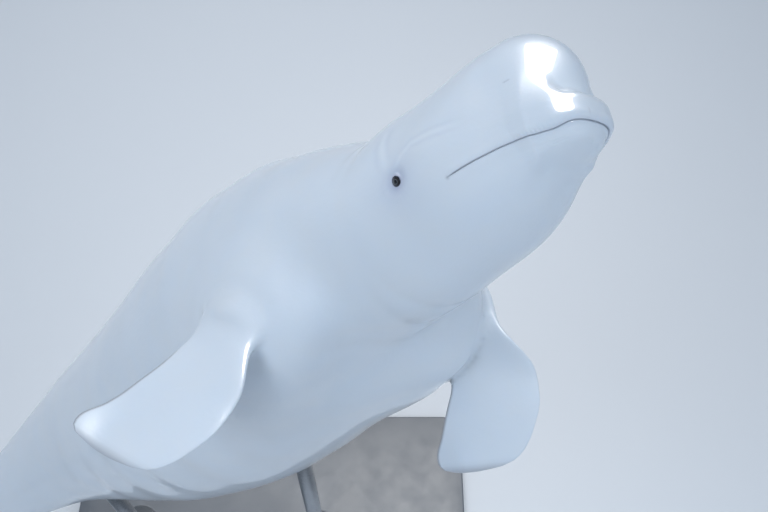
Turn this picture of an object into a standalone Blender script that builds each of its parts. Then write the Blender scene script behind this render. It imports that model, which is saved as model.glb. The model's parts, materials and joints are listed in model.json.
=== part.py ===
"""A beluga whale as a still, life-size model on a plain display stand.

The body is one field: a lofted trunk joined smoothly to the melon, beak, jaw,
cheeks and shoulders. Rays from the spine find its surface, which is then bent
along the spine into the pose and parted across it into head, neck, chest,
belly and tail stock.

Two frames are used. Body frame: +X forward, +Y left, +Z towards the back,
snout tip near the origin and s = -x the distance behind it. World frame: +Z
up, origin on the floor under the middle of the base. Sizes are in metres.
"""

import math
from functools import partial

import bmesh
import bpy
import numpy as np
from mathutils import Matrix, Vector

# The gap that neighbouring pieces keep
GAP = 0.0003

# Trunk sections: distance behind the snout, height above and below the spine, half width
TRUNK = np.array((
    (0.12, 0.120, 0.070, 0.070),
    (0.20, 0.199, 0.128, 0.138),
    (0.30, 0.216, 0.179, 0.175),
    (0.45, 0.232, 0.221, 0.198),
    (0.58, 0.209, 0.243, 0.222),
    (0.72, 0.230, 0.285, 0.255),
    (0.86, 0.275, 0.331, 0.308),
    (1.02, 0.352, 0.388, 0.360),
    (1.30, 0.412, 0.428, 0.410),
    (1.60, 0.424, 0.436, 0.418),
    (2.00, 0.396, 0.408, 0.389),
    (2.50, 0.325, 0.333, 0.300),
    (3.00, 0.234, 0.232, 0.188),
    (3.40, 0.166, 0.164, 0.112),
    (3.80, 0.108, 0.103, 0.064),
    (4.05, 0.060, 0.056, 0.044),
    (4.16, 0.030, 0.028, 0.030),
))
TRUNK_FRONT = 0.13

# The head's rounded masses: centre and half sizes along X, Y and Z
MELON_CENTRE = (-0.158, 0.0, 0.111)
MELON_SIZE = (0.140, 0.123, 0.140)
MELON_BACK = 0.26
BEAK_CENTRE = (-0.123, 0.0, 0.009)
BEAK_SIZE = (0.130, 0.104, 0.050)
BEAK_SQUARE = (2.7, 3.0)
BEAK_TILT = 0.04
JAW_CENTRE = (-0.150, 0.0, -0.032)
JAW_SIZE = (0.139, 0.085, 0.038)
JAW_SQUARE = (2.6, 2.8)
JAW_TILT = 0.06
CHEEK_CENTRE = (-0.313, 0.0, -0.019)
CHEEK_SIZE = (0.149, 0.161, 0.1325)
SHOULDER_CENTRE = (-1.04, 0.235, -0.185)
SHOULDER_SIZE = (0.36, 0.155, 0.190)
# Fillets between the masses. The crease under the melon is sharp only at the front and
# near the middle, and fades out over these distances behind the snout and to each side.
CREASE_BLEND = 0.014
CREASE_SPAN = (0.070, 0.200)
CREASE_HALF = (0.035, 0.090)
JAW_BLEND = 0.010
CHEEK_BLEND = 0.130
TRUNK_BLEND = 0.070
SHOULDER_BLEND = 0.110

# Mouth line, seen from the side
MOUTH_TIP_Z = -0.0165
MOUTH_CORNER = (0.262, -0.050)
MOUTH_HUMP = -0.0075
MOUTH_SLIT = 0.0035
MOUTH_DEPTH = 0.007
LIP_HALF = 0.013
LIP_RISE = 0.0040
# The snout's faces are flats that cut inside its round skin, so its points stand out by this
# much at the front, and less and less over this distance behind the snout
FLAT_SWELL = 0.004
FLAT_SPAN = (0.14, 0.34)

# Eye
EYE_AT = (0.390, -0.003)
EYE_RADIUS = 0.020
EYE_SINK = 0.0175
LID_RADIUS = 0.036
LID_SQUASH = (1.0, 0.92, 0.60)
LID_OPEN = (0.0128, 0.0108)
LID_OVAL = 0.60
LID_TILT = math.radians(14)

# Blowhole: a crescent slit on top of the head, a little left of the middle
BLOW_AT = (0.415, 0.012)
BLOW_RADIUS = 0.040
BLOW_SPREAD = math.radians(58)
BLOW_SLIT = 0.0022
BLOW_DEPTH = 0.012
BLOW_INSIDE = 0.05

# Low ridge along the back, where other whales have a fin
RIDGE_SPAN = (1.75, 3.05)
RIDGE_HEIGHT = 0.022
RIDGE_HALF = 0.034

# Where the body is parted
HEAD_END = 0.60
# Lengths of the trunk behind the head: where each starts and ends, and its rows of faces
SEGMENTS = {
    "neck": (HEAD_END, 0.84, 5),
    "chest": (0.84, 1.66, 11),
    "belly": (1.66, 2.48, 9),
    "tail_stock": (2.48, 4.10, 17),
}
FAN_AT = 0.30
FAN_CENTRE = (-FAN_AT, 0.0, 0.020)

# Pose: where the snout is over the base, and how the head is turned
SNOUT = (1.023, -0.195, 3.631)
HEAD_HEADING = math.radians(-7.5)
HEAD_RISE = math.radians(52.3)
HEAD_ROLL = math.radians(-70.6)
# Bends of the spine: middle, half length, then the turns up, left and in roll in degrees
BENDS = (
    (0.56, 0.12, 15.1, -4.7, 12.5),
    (0.82, 0.14, -21.1, -8.7, -5.7),
    (1.25, 0.30, -0.7, 10.6, -0.1),
    (1.95, 0.40, 8.3, 9.8, 0.0),
    (2.80, 0.40, -14.0, 10.0, 3.0),
    (3.50, 0.32, -16.0, 10.0, 3.0),
)
SPINE_STEP = 0.01
SPINE_END = 4.40

# Flippers: length, and the outline as fractions of it with the chord's two edges
FLIPPER_LENGTH = 0.395
PADDLE = np.array((
    (-0.40, 0.045, -0.045),
    (-0.15, 0.086, -0.084),
    (0.00, 0.096, -0.094),
    (0.15, 0.124, -0.082),
    (0.35, 0.153, -0.088),
    (0.55, 0.158, -0.110),
    (0.75, 0.138, -0.132),
    (0.88, 0.112, -0.150),
    (0.96, 0.072, -0.138),
    (1.00, 0.000, -0.090),
))
PADDLE_THICK = (0.052, 0.016)
# The hind corner's lift, and where on the chord and along the span it begins and is full
PADDLE_CURL = 0.032
CURL_CHORD = (0.055, 0.16)
CURL_SPAN = (0.55, 1.0)
PADDLE_SWEEP = 0.030
# Over this part of the span the chord turns from the root's direction to the blade's
CHORD_TURN = (-0.05, 0.45)
PADDLE_ROWS = np.array((-0.40, -0.15, 0.0, 0.10, 0.20, 0.32, 0.44, 0.56, 0.67, 0.77, 0.85, 0.92, 0.965, 0.99))
# For each side: root distance behind the snout, angle below the side, and the directions
# of span, chord and root chord, each given forward, outward and towards the back
FLIPPERS = {
    "flipper_right": (-1, 0.875, math.radians(26), (-0.16, 0.70, -0.69),
                      (0.64, -0.45, -0.61), (0.83, -0.33, -0.47)),
    "flipper_left": (1, 0.93, math.radians(34), (-0.16, -0.09, -0.98),
                     (0.75, 0.64, -0.14), (0.97, 0.00, 0.18)),
}

# Flukes: half span, where the front and hind edges leave the body, how far the front edge
# falls back and its tip hooks, and how far the hind edge bulges and falls back
FLUKE_HALF = 0.50
FLUKE_ROOT = (3.76, 4.17)
FLUKE_SWEEP = 0.30
FLUKE_HOOK = 0.06
FLUKE_BULGE = 0.075
FLUKE_TRAIL = 0.03
FLUKE_THICK = (0.050, 0.010)
FLUKE_DROOP = 0.05
FLUKE_NOTCH = 0.004
FLUKE_ROWS = np.array((0.0, 0.08, 0.18, 0.30, 0.43, 0.56, 0.68, 0.79, 0.88, 0.94, 0.98, 1.0))

# A blade's section: columns round it, and its thickness at the hind edge as a share
BLADE_COLUMNS = 24
HIND_THIN = 0.35

# Stand
BASE_SIZE = (2.10, 1.25, 0.05)
BASE_ROUND = 0.10
BASE_EDGE = 0.008
ROD_RADIUS = 0.038
ROD_FOOT = (0.11, 0.016)
ROD_COLLAR = 0.012
ROD_SIDES = 24
# Each rod: where along the spine it stands, and the lengths of the trunk that it meets
RODS = {
    "stand_rod_front": (1.45, ("chest", "belly")),
    "stand_rod_rear": (2.95, ("belly", "tail_stock")),
}
# Each cradle flares from the rod in two steps, as radius and height over its neck
CRADLE_RADIUS = 0.085
CRADLE_FLARE = ((0.068, 0.050), (CRADLE_RADIUS, 0.085))
CRADLE_DEPTH = 0.11
SINK_INTO_BODY = 0.12

# Mesh fineness
COLUMNS = 44
HEAD_COLUMNS = 56
FAN_ROWS = 19
HEAD_ROWS = 10
BISECTIONS = 34
PROBES = 91
MOUTH_COLUMNS = (-0.030, -0.014, -0.005, 0.0, 0.005, 0.014, 0.030)
# Share of the half ring's columns above the mouth, and of its room that they may take
MOUTH_COLUMN_SHARE = 0.56
MOUTH_ROOM = 0.9
# The mouth's columns fade back to even ones over this distance behind the snout
MOUTH_FADE = (0.30, 0.44)
FAN_OPENING = 0.92
RAY_REACH = 0.60
NORMAL_STEP = 0.0005
CREASE_ANGLE = math.radians(62)

COLOURS = {
    "skin": ((0.86, 0.87, 0.89, 1.0), 0.38, 0.0),
    "eye": ((0.035, 0.022, 0.018, 1.0), 0.08, 0.0),
    "base": ((0.30, 0.31, 0.33, 1.0), 0.55, 0.0),
    "rod": ((0.55, 0.56, 0.58, 1.0), 0.32, 1.0),
}


def smooth_step(x, low, high):
    """0 below low, 1 above high, and a smooth rise between."""
    t = np.clip((x - low) / (high - low), 0.0, 1.0)
    return t * t * (3.0 - 2.0 * t)


def profile(x, xs, ys):
    """Value of the smooth curve through (xs, ys) that never overshoots its points."""
    h = np.diff(xs)
    d = np.diff(ys) / h
    m = np.zeros(len(xs))
    m[0] = d[0]
    m[-1] = d[-1]
    inner = d[:-1] * d[1:] > 0
    w1 = 2 * h[1:] + h[:-1]
    w2 = h[1:] + 2 * h[:-1]
    left = np.where(inner, d[:-1], 1.0)
    right = np.where(inner, d[1:], 1.0)
    m[1:-1] = np.where(inner, (w1 + w2) / (w1 / left + w2 / right), 0.0)
    x = np.clip(x, xs[0], xs[-1])
    k = np.clip(np.searchsorted(xs, x) - 1, 0, len(xs) - 2)
    t = (x - xs[k]) / h[k]
    start = ys[k] * (1 + 2 * t) + m[k] * h[k] * t
    end = ys[k + 1] * (3 - 2 * t) + m[k + 1] * h[k] * (t - 1)
    return start * (1 - t) ** 2 + end * t * t


def smooth_join(a, b, blend):
    """The smaller of two fields, with a fillet of about the blend size between them."""
    h = np.clip(0.5 + 0.5 * (b - a) / blend, 0.0, 1.0)
    return b * (1 - h) + a * h - blend * h * (1 - h)


def rounded_mass(p, centre, size, square=(2.0, 2.0), tilt=0.0, back=None):
    """Rough distance to a rounded mass, squarer in plan and height where square is over 2."""
    flat, tall = square
    q = p - np.array(centre)
    ca, sa = math.cos(tilt), math.sin(tilt)
    x = q[..., 0] * ca + q[..., 2] * sa
    z = q[..., 2] * ca - q[..., 0] * sa
    if back is not None:
        x = np.where(x < 0, x * size[0] / back, x)
    u = np.abs(x / size[0]) + 1e-6
    v = np.abs(q[..., 1] / size[1]) + 1e-6
    w = np.abs(z / size[2]) + 1e-6
    plan = u ** flat + v ** flat
    k = (plan ** (tall / flat) + w ** tall) ** (1 / tall)
    steep = plan ** (tall / flat - 1)
    gx = steep * u ** (flat - 1) / size[0]
    gy = steep * v ** (flat - 1) / size[1]
    gz = w ** (tall - 1) / size[2]
    g = np.sqrt(gx ** 2 + gy ** 2 + gz ** 2) * k ** (1 - tall)
    return (k - 1) / np.maximum(g, 1e-6)


def trunk_heights(s):
    """Height above the spine, height below it and half width at s."""
    stations = TRUNK[:, 0]
    top = profile(s, stations, TRUNK[:, 1])
    below = profile(s, stations, TRUNK[:, 2])
    half = profile(s, stations, TRUNK[:, 3])
    return top, below, half


def body_field(p):
    """Negative inside the body and positive outside it."""
    s = -p[..., 0]
    top, below, half = trunk_heights(s)
    middle = (top - below) / 2
    height = (top + below) / 2
    ring = np.sqrt((p[..., 1] / half) ** 2 + ((p[..., 2] - middle) / height) ** 2)
    trunk = (ring - 1) * np.minimum(half, height)
    trunk = np.maximum(trunk, TRUNK_FRONT - s)
    one_side = np.stack((p[..., 0], np.abs(p[..., 1]), p[..., 2]), axis=-1)
    shoulder = rounded_mass(one_side, SHOULDER_CENTRE, SHOULDER_SIZE)
    trunk = smooth_join(trunk, shoulder, SHOULDER_BLEND)
    beak = rounded_mass(p, BEAK_CENTRE, BEAK_SIZE, BEAK_SQUARE, BEAK_TILT)
    jaw = rounded_mass(p, JAW_CENTRE, JAW_SIZE, JAW_SQUARE, JAW_TILT)
    cheek = rounded_mass(p, CHEEK_CENTRE, CHEEK_SIZE)
    melon = rounded_mass(p, MELON_CENTRE, MELON_SIZE, back=MELON_BACK)
    snout = smooth_join(smooth_join(beak, jaw, JAW_BLEND), cheek, CHEEK_BLEND)
    upper = smooth_join(trunk, melon, TRUNK_BLEND)
    sharp = 1 - smooth_step(s, *CREASE_SPAN)
    sharp = sharp * (1 - smooth_step(np.abs(p[..., 1]), *CREASE_HALF))
    return smooth_join(snout, upper, TRUNK_BLEND + (CREASE_BLEND - TRUNK_BLEND) * sharp)


def mouth_height(s):
    """Height of the mouth line at s, from the snout back past its corner."""
    t = s / MOUTH_CORNER[0]
    fall = (MOUTH_CORNER[1] - MOUTH_TIP_Z) * np.clip(t, 0, None) ** 1.6
    hump = MOUTH_HUMP * np.sin(np.pi * np.clip(t / 0.6, 0, 1))
    return MOUTH_TIP_Z + fall + hump


def skin_relief(p):
    """How far the points stand out of the body: lips, mouth slit, ridge and the snout's swell."""
    s = -p[..., 0]
    off = p[..., 2] - mouth_height(s)
    along = 1 - smooth_step(s, MOUTH_CORNER[0] - 0.02, MOUTH_CORNER[0] + 0.012)
    lips = LIP_RISE * np.exp(-((np.abs(off) - 0.006) / LIP_HALF) ** 2) * along
    slit = MOUTH_DEPTH * np.exp(-(off / MOUTH_SLIT) ** 2) * along
    length = smooth_step(s, RIDGE_SPAN[0], RIDGE_SPAN[0] + 0.5)
    length = length * (1 - smooth_step(s, RIDGE_SPAN[1] - 0.5, RIDGE_SPAN[1]))
    above = p[..., 2] > 0
    ridge = RIDGE_HEIGHT * length * np.exp(-(p[..., 1] / RIDGE_HALF) ** 2) * above
    swell = FLAT_SWELL * (1 - smooth_step(s, *FLAT_SPAN))
    return lips - slit + ridge + swell


def field_normal(p):
    """Outward direction of the body's surface at p, from differences of its field."""
    slope = []
    for axis in np.eye(3) * NORMAL_STEP:
        slope.append(body_field(p + axis) - body_field(p - axis))
    slope = np.stack(slope, axis=-1)
    return slope / np.linalg.norm(slope, axis=-1, keepdims=True)


def surface(origins, directions, grow=0.0):
    """Points where rays from inside leave the body, with its relief, grown by a margin."""
    low = np.zeros(origins.shape[:-1])
    high = np.full(origins.shape[:-1], RAY_REACH)
    for _ in range(BISECTIONS):
        mid = (low + high) / 2
        inside = body_field(origins + directions * mid[..., None]) < 0
        low = np.where(inside, mid, low)
        high = np.where(inside, high, mid)
    p = origins + directions * ((low + high) / 2)[..., None]
    return p + field_normal(p) * (skin_relief(p) + grow)[..., None]


def build_spine():
    """Places and axes (columns forward, left, back) along the posed spine."""
    ch, sh = math.cos(HEAD_HEADING), math.sin(HEAD_HEADING)
    cr, sr = math.cos(HEAD_RISE), math.sin(HEAD_RISE)
    forward = np.array((cr * ch, cr * sh, sr))
    level_left = np.array((-sh, ch, 0.0))
    level_back = np.cross(forward, level_left)
    left = math.cos(HEAD_ROLL) * level_left + math.sin(HEAD_ROLL) * level_back
    axes = np.stack((forward, left, np.cross(forward, left)), axis=1)
    place = np.array(SNOUT, dtype=float)
    places = [place]
    frames = [axes]
    for i in range(int(round(SPINE_END / SPINE_STEP))):
        s = (i + 0.5) * SPINE_STEP
        rates = np.zeros(3)
        for middle, half, up, side, roll in BENDS:
            share = math.exp(-((s - middle) / half) ** 2) / (half * math.sqrt(math.pi))
            rates += share * np.radians((roll, up, side))
        turn = rates * SPINE_STEP
        angle = np.linalg.norm(turn)
        axis = Vector(turn / angle) if angle > 1e-12 else Vector((1, 0, 0))
        axes = axes @ np.array(Matrix.Rotation(angle, 3, axis))
        place = place - axes[:, 0] * SPINE_STEP
        places.append(place)
        frames.append(axes)
    return np.array(places), np.array(frames)


SPINE_PLACES, SPINE_AXES = build_spine()


def spine_frame(s):
    """Place and axes of the spine at distance s, blended between its steps."""
    i = np.clip(np.asarray(s, dtype=float) / SPINE_STEP, 0, len(SPINE_PLACES) - 1.001)
    k = np.floor(i).astype(int)
    t = (i - k)[..., None]
    place = SPINE_PLACES[k] * (1 - t) + SPINE_PLACES[k + 1] * t
    t = t[..., None]
    return place, SPINE_AXES[k] * (1 - t) + SPINE_AXES[k + 1] * t


def posed(p):
    """Body-frame points carried to the world by the posed spine."""
    place, axes = spine_frame(-p[..., 0])
    ahead = np.maximum(p[..., 0:1], 0.0) * axes[..., :, 0]
    return place + ahead + axes[..., :, 1] * p[..., 1:2] + axes[..., :, 2] * p[..., 2:3]


def mouth_turn(cast):
    """Angle round a ring at which its left side crosses the mouth line, and the radius there."""
    turn = np.linspace(0.0, np.pi, PROBES)
    origins, directions = cast(turn)
    ring = surface(origins, directions)
    off = ring[:, 2] - mouth_height(-ring[:, 0])
    first = int(np.clip(np.argmax(off < 0), 1, PROBES - 1))
    share = off[first - 1] / (off[first - 1] - off[first])
    radius = np.linalg.norm((ring - ring.mean(axis=0))[first])
    return turn[first - 1] + share * (turn[first] - turn[first - 1]), radius


def column_angles(count, cast=None, near_mouth=0.0):
    """Angles from the back round the left side. Near the mouth, a column follows its line."""
    half = count // 2
    even = np.linspace(0.0, np.pi, half + 1)
    if near_mouth > 0:
        follow, radius = mouth_turn(cast)
        middle = int(round(half * MOUTH_COLUMN_SHARE))
        room = MOUTH_ROOM * min(follow, np.pi - follow)
        steps = np.array(MOUTH_COLUMNS) * min(1 / radius, room / MOUTH_COLUMNS[-1])
        columns = np.arange(len(steps)) - len(steps) // 2 + middle
        knots_at = np.concatenate(((0,), columns, (half,)))
        knots = np.concatenate(((0.0,), follow + steps, (np.pi,)))
        warped = np.interp(np.arange(half + 1), knots_at, knots)
        even = even * (1 - near_mouth) + warped * near_mouth
    return np.concatenate((even, 2 * np.pi - even[-2:0:-1]))


def fan_cast(angle, axis, turn):
    """Rays from one point, opened by an angle round an axis."""
    back = np.array((-axis[2], 0.0, axis[0]))
    left = np.array((0.0, 1.0, 0.0))
    around = np.cos(turn)[:, None] * back + np.sin(turn)[:, None] * left
    directions = math.cos(angle) * axis + math.sin(angle) * around
    return np.tile(np.array(FAN_CENTRE), (len(turn), 1)), directions


def fan_rings(grow=0.0):
    """Rings of the snout, from its tip back to the first plain section."""
    rings = []
    tip = np.array((0.0, 0.0, MOUTH_TIP_Z)) - np.array(FAN_CENTRE)
    tip = tip / np.linalg.norm(tip)
    for i in range(FAN_ROWS):
        share = (i + 1) / FAN_ROWS
        axis = tip * (1 - share) + np.array((1.0, 0.0, 0.0)) * share
        cast = partial(fan_cast, np.pi / 2 * share ** FAN_OPENING, axis / np.linalg.norm(axis))
        origins, directions = cast(column_angles(HEAD_COLUMNS, cast, 1.0))
        rings.append(surface(origins, directions, grow))
    return rings


def section_cast(s, turn):
    """Rays across the spine at s, from the middle of the section."""
    top, below, _ = trunk_heights(np.array(s))
    share = float(smooth_step(np.array(s), FAN_AT, 0.5))
    middle = FAN_CENTRE[2] * (1 - share) + float(top - below) / 2 * share
    directions = np.stack((np.zeros_like(turn), np.sin(turn), np.cos(turn)), axis=1)
    return np.tile(np.array((-s, 0.0, middle)), (len(turn), 1)), directions


def section_ring(s, count, grow=0.0, mouth=False):
    """One plain section of the body across the spine at s."""
    near = (1 - float(smooth_step(np.array(s), *MOUTH_FADE))) if mouth else 0.0
    cast = partial(section_cast, s)
    origins, directions = cast(column_angles(count, cast, near))
    return surface(origins, directions, grow)


def material(name):
    """Principled material of one finish."""
    colour, rough, metal = COLOURS[name]
    mat = bpy.data.materials.new("finish_" + name)
    mat.use_nodes = True
    shader = mat.node_tree.nodes["Principled BSDF"]
    shader.inputs["Base Color"].default_value = colour
    shader.inputs["Roughness"].default_value = rough
    shader.inputs["Metallic"].default_value = metal
    mat.diffuse_color = colour
    return mat


def link_object(name, mesh, collection, finish):
    """Object around a mesh, in a collection, with a material of its own."""
    obj = bpy.data.objects.new(name, mesh)
    collection.objects.link(obj)
    if finish:
        mat = material(finish)
        mat.name = "finish_" + name
        mesh.materials.append(mat)
    return obj


def shade(mesh):
    """Smooth shading, apart from the edges of flat ends and cuts."""
    mesh.shade_smooth()
    mesh.set_sharp_from_angle(angle=CREASE_ANGLE)


def loft(name, rings, collection, finish, tip=None):
    """Closed body over rings of equal count, with flat ends, or a point before the first."""
    bm = bmesh.new()
    rows = [[bm.verts.new(p) for p in ring] for ring in rings]
    for a, b in zip(rows, rows[1:]):
        for j in range(len(a)):
            k = (j + 1) % len(a)
            bm.faces.new((a[j], b[j], b[k]))
            bm.faces.new((a[j], b[k], a[k]))
    ends = [(rows[-1], np.mean(rings[-1], axis=0))]
    ends.append((rows[0], np.mean(rings[0], axis=0) if tip is None else tip))
    for row, centre in ends:
        hub = bm.verts.new(centre)
        for j in range(len(row)):
            bm.faces.new((row[j], row[(j + 1) % len(row)], hub))
    bmesh.ops.recalc_face_normals(bm, faces=bm.faces)
    mesh = bpy.data.meshes.new(name)
    bm.to_mesh(mesh)
    bm.free()
    shade(mesh)
    return link_object(name, mesh, collection, finish)


def largest_body(mesh):
    """Keep only the largest closed surface of a mesh."""
    bm = bmesh.new()
    bm.from_mesh(mesh)
    bm.verts.ensure_lookup_table()
    todo = set(bm.verts)
    groups = []
    while todo:
        stack = [todo.pop()]
        group = set(stack)
        while stack:
            for edge in stack.pop().link_edges:
                for vert in edge.verts:
                    if vert in todo:
                        todo.discard(vert)
                        group.add(vert)
                        stack.append(vert)
        groups.append(group)
    groups.sort(key=len)
    loose = [v for group in groups[:-1] for v in group]
    bmesh.ops.delete(bm, geom=loose, context="VERTS")
    bmesh.ops.triangulate(bm, faces=bm.faces)
    bm.to_mesh(mesh)
    bm.free()


def apply_boolean(obj, other, operation):
    """Cut or join one mesh with another and keep the result as plain mesh."""
    mod = obj.modifiers.new("bool", "BOOLEAN")
    mod.operation = operation
    mod.object = other
    mod.solver = "EXACT"
    bpy.context.view_layer.update()
    graph = bpy.context.evaluated_depsgraph_get()
    mesh = bpy.data.meshes.new_from_object(obj.evaluated_get(graph))
    obj.modifiers.clear()
    old = obj.data
    name = old.name
    obj.data = mesh
    bpy.data.meshes.remove(old)
    mesh.name = name
    largest_body(mesh)


def as_cutter(obj):
    """Mark an object as a helper that only cuts."""
    obj.hide_render = True
    obj.display_type = "WIRE"
    return obj


def section_rows(start, end, rows):
    """Distances of the sections from start to end."""
    return np.linspace(start, end, rows + 1)


def build_head(parts, helpers):
    """Head with lips, mouth line, lids round each eye and the blowhole."""
    rings = fan_rings()
    for s in section_rows(FAN_AT, HEAD_END - GAP / 2, HEAD_ROWS)[1:]:
        rings.append(section_ring(s, HEAD_COLUMNS, mouth=True))
    tip_direction = np.array((0.0, 0.0, MOUTH_TIP_Z)) - np.array(FAN_CENTRE)
    tip_direction = tip_direction / np.linalg.norm(tip_direction)
    tip = surface(np.array(FAN_CENTRE), tip_direction)
    head = loft("head", [posed(r) for r in rings], parts, "skin", posed(tip))
    for side in (-1, 1):
        frame = eye_frame(side)
        lid = ball("lid", LID_RADIUS, helpers, LID_SQUASH)
        lid.data.transform(frame)
        apply_boolean(head, lid, "UNION")
        slit = lens_prism("lid_opening", LID_OPEN, helpers)
        slit.data.transform(frame @ Matrix.Rotation(LID_TILT * side, 4, "Z"))
        apply_boolean(head, slit, "DIFFERENCE")
        socket = ball("socket", EYE_RADIUS + GAP, helpers)
        socket.data.transform(frame)
        apply_boolean(head, socket, "DIFFERENCE")
    apply_boolean(head, blowhole_cutter(helpers), "DIFFERENCE")
    shade(head.data)
    return head


def eye_frame(side):
    """World matrix of an eye: Z out of the head, X towards the snout."""
    s, z = EYE_AT
    origin = np.array((-s, 0.0, z))
    p = surface(origin, np.array((0.0, float(side), 0.0)))
    step = 0.03
    ahead = surface(origin + (step, 0, 0), np.array((0.0, float(side), 0.0)))
    above = surface(origin + (0, 0, step), np.array((0.0, float(side), 0.0)))
    p, ahead, above = posed(p), posed(ahead), posed(above)
    out = np.cross(ahead - p, above - p) * -side
    out = out / np.linalg.norm(out)
    x = ahead - p
    x = x - out * (x @ out)
    x = x / np.linalg.norm(x)
    y = np.cross(out, x)
    centre = p - out * EYE_SINK
    frame = Matrix.Identity(4)
    for i in range(3):
        frame[i][0], frame[i][1], frame[i][2], frame[i][3] = x[i], y[i], out[i], centre[i]
    return frame


def ball(name, radius, collection, squash=(1.0, 1.0, 1.0), segments=20, rings=12):
    """Ball at the origin, as a helper."""
    bm = bmesh.new()
    bmesh.ops.create_uvsphere(bm, u_segments=segments, v_segments=rings, radius=radius)
    bmesh.ops.scale(bm, vec=squash, verts=bm.verts)
    mesh = bpy.data.meshes.new(name)
    bm.to_mesh(mesh)
    bm.free()
    return as_cutter(link_object(name, mesh, collection, None))


def lens_prism(name, half_sizes, collection, points=10):
    """Upright prism of oval outline, a little pointed at both corners, as a helper."""
    a, b = half_sizes
    t = np.linspace(-1.0, 1.0, points + 1)
    rise = b * (1 - t * t) ** LID_OVAL
    outline = [(a * u, r) for u, r in zip(t, rise)]
    outline += [(a * u, -r) for u, r in zip(t[-2:0:-1], rise[-2:0:-1])]
    bm = bmesh.new()
    bottom = [bm.verts.new((x, y, 0.004)) for x, y in outline]
    face = bm.faces.new(bottom)
    grown = bmesh.ops.extrude_face_region(bm, geom=[face])
    moved = [v for v in grown["geom"] if isinstance(v, bmesh.types.BMVert)]
    bmesh.ops.translate(bm, verts=moved, vec=(0, 0, 0.05))
    bmesh.ops.recalc_face_normals(bm, faces=bm.faces)
    mesh = bpy.data.meshes.new(name)
    bm.to_mesh(mesh)
    bm.free()
    return as_cutter(link_object(name, mesh, collection, None))


def blowhole_cutter(helpers):
    """Thin crescent wedge that cuts the closed blowhole, open side forward."""
    s, y = BLOW_AT
    up = np.array((0.0, 0.0, 1.0))
    bm = bmesh.new()
    rows = []
    for angle in np.linspace(-BLOW_SPREAD, BLOW_SPREAD, 15):
        x = -s - BLOW_RADIUS * (math.cos(angle) - 1)
        side = y + BLOW_RADIUS * math.sin(angle)
        taper = 1 - 0.75 * abs(angle / BLOW_SPREAD) ** 2
        origin = np.array((x, side, BLOW_INSIDE))
        top = surface(origin, up)
        across = np.array((math.cos(angle), -math.sin(angle), 0.0)) * BLOW_SLIT * taper
        deep = top - up * BLOW_DEPTH * taper
        high = top + up * 0.006
        ring = (high - across * 2.2, deep - across * 0.2, deep + across * 0.2, high + across * 2.2)
        rows.append([bm.verts.new(posed(p)) for p in ring])
    for a, b in zip(rows, rows[1:]):
        for j in range(4):
            bm.faces.new((a[j], b[j], b[(j + 1) % 4], a[(j + 1) % 4]))
    bm.faces.new(rows[0])
    bm.faces.new(rows[-1])
    bmesh.ops.recalc_face_normals(bm, faces=bm.faces)
    mesh = bpy.data.meshes.new("blowhole_cut")
    bm.to_mesh(mesh)
    bm.free()
    return as_cutter(link_object("blowhole_cut", mesh, helpers, None))


def build_eye(name, side, parts):
    """Eyeball, a full ball set behind the lids."""
    mesh = bpy.data.meshes.new(name)
    bm = bmesh.new()
    bmesh.ops.create_uvsphere(bm, u_segments=18, v_segments=10, radius=EYE_RADIUS)
    bmesh.ops.triangulate(bm, faces=bm.faces)
    bm.to_mesh(mesh)
    bm.free()
    mesh.transform(eye_frame(side))
    mesh.shade_smooth()
    return link_object(name, mesh, parts, "eye")


def build_segment(name, parts):
    """One length of the trunk between two planes across the spine."""
    rings = [posed(section_ring(s, COLUMNS)) for s in segment_rows(name)]
    return loft(name, rings, parts, "skin")


def segment_rows(name):
    """Distances of the sections of one length of the trunk."""
    start, end, rows = SEGMENTS[name]
    return section_rows(start + GAP / 2, end - GAP / 2, rows)


def trunk_copy(names, helpers):
    """Lengths of the trunk as one body, grown by the gap, to cut what meets them."""
    places = np.concatenate([segment_rows(name) for name in names])
    places[0] -= 1.5 * GAP
    places[-1] += 1.5 * GAP
    rings = [posed(section_ring(s, COLUMNS, GAP)) for s in places]
    return as_cutter(loft("trunk_cut", rings, helpers, None))


def blade_rings(spans, edges, thickness, centre_line):
    """Sections of a blade: chord edges, thickness and centre line at each span place."""
    turn = np.linspace(0, 2 * np.pi, BLADE_COLUMNS, endpoint=False)
    rings = []
    for span, (lead, trail), thick in zip(spans, edges, thickness):
        chord = (lead + trail) / 2 + (lead - trail) / 2 * np.cos(turn)
        full = HIND_THIN + (1 - HIND_THIN) * ((np.cos(turn) + 1) / 2) ** 0.7
        rise = thick / 2 * np.sin(turn) * full
        rings.append(centre_line(span, chord, rise))
    return rings


def flipper_frame(name):
    """World place of a flipper's root, its span, and the chord of its blade and its root."""
    side, s, below = FLIPPERS[name][:3]
    mirror = np.array((1.0, side, 1.0))
    origin = np.array((-s, 0.0, 0.0))
    outward = np.array((0.0, side * math.cos(below), -math.sin(below)))
    root = posed(surface(origin, outward))
    _, axes = spine_frame(np.array(s))
    span, chord, root_chord = (np.array(d) * mirror for d in FLIPPERS[name][3:])
    span = span / np.linalg.norm(span)
    chords = []
    for direction in (chord, root_chord):
        direction = direction - span * (direction @ span)
        chords.append(axes @ direction / np.linalg.norm(direction))
    return side, root, axes @ span, chords[0], chords[1]


def flipper_points(frame, t, across, rise):
    """World points of a flipper at a fraction of its length, a place on the chord and a rise."""
    side, root, span, blade_chord, root_chord = frame
    share = float(smooth_step(t, *CHORD_TURN))
    chord = blade_chord * share + root_chord * (1 - share)
    chord = chord / np.linalg.norm(chord)
    normal = np.cross(span, chord) * -side
    hind = smooth_step(0.10 * (t - 0.9) - across, *CURL_CHORD)
    lift = PADDLE_CURL * hind * smooth_step(t, *CURL_SPAN) + rise
    across = across - PADDLE_SWEEP * t * t
    out = t * FLIPPER_LENGTH * span
    return root + out + across[:, None] * chord + lift[:, None] * normal


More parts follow.
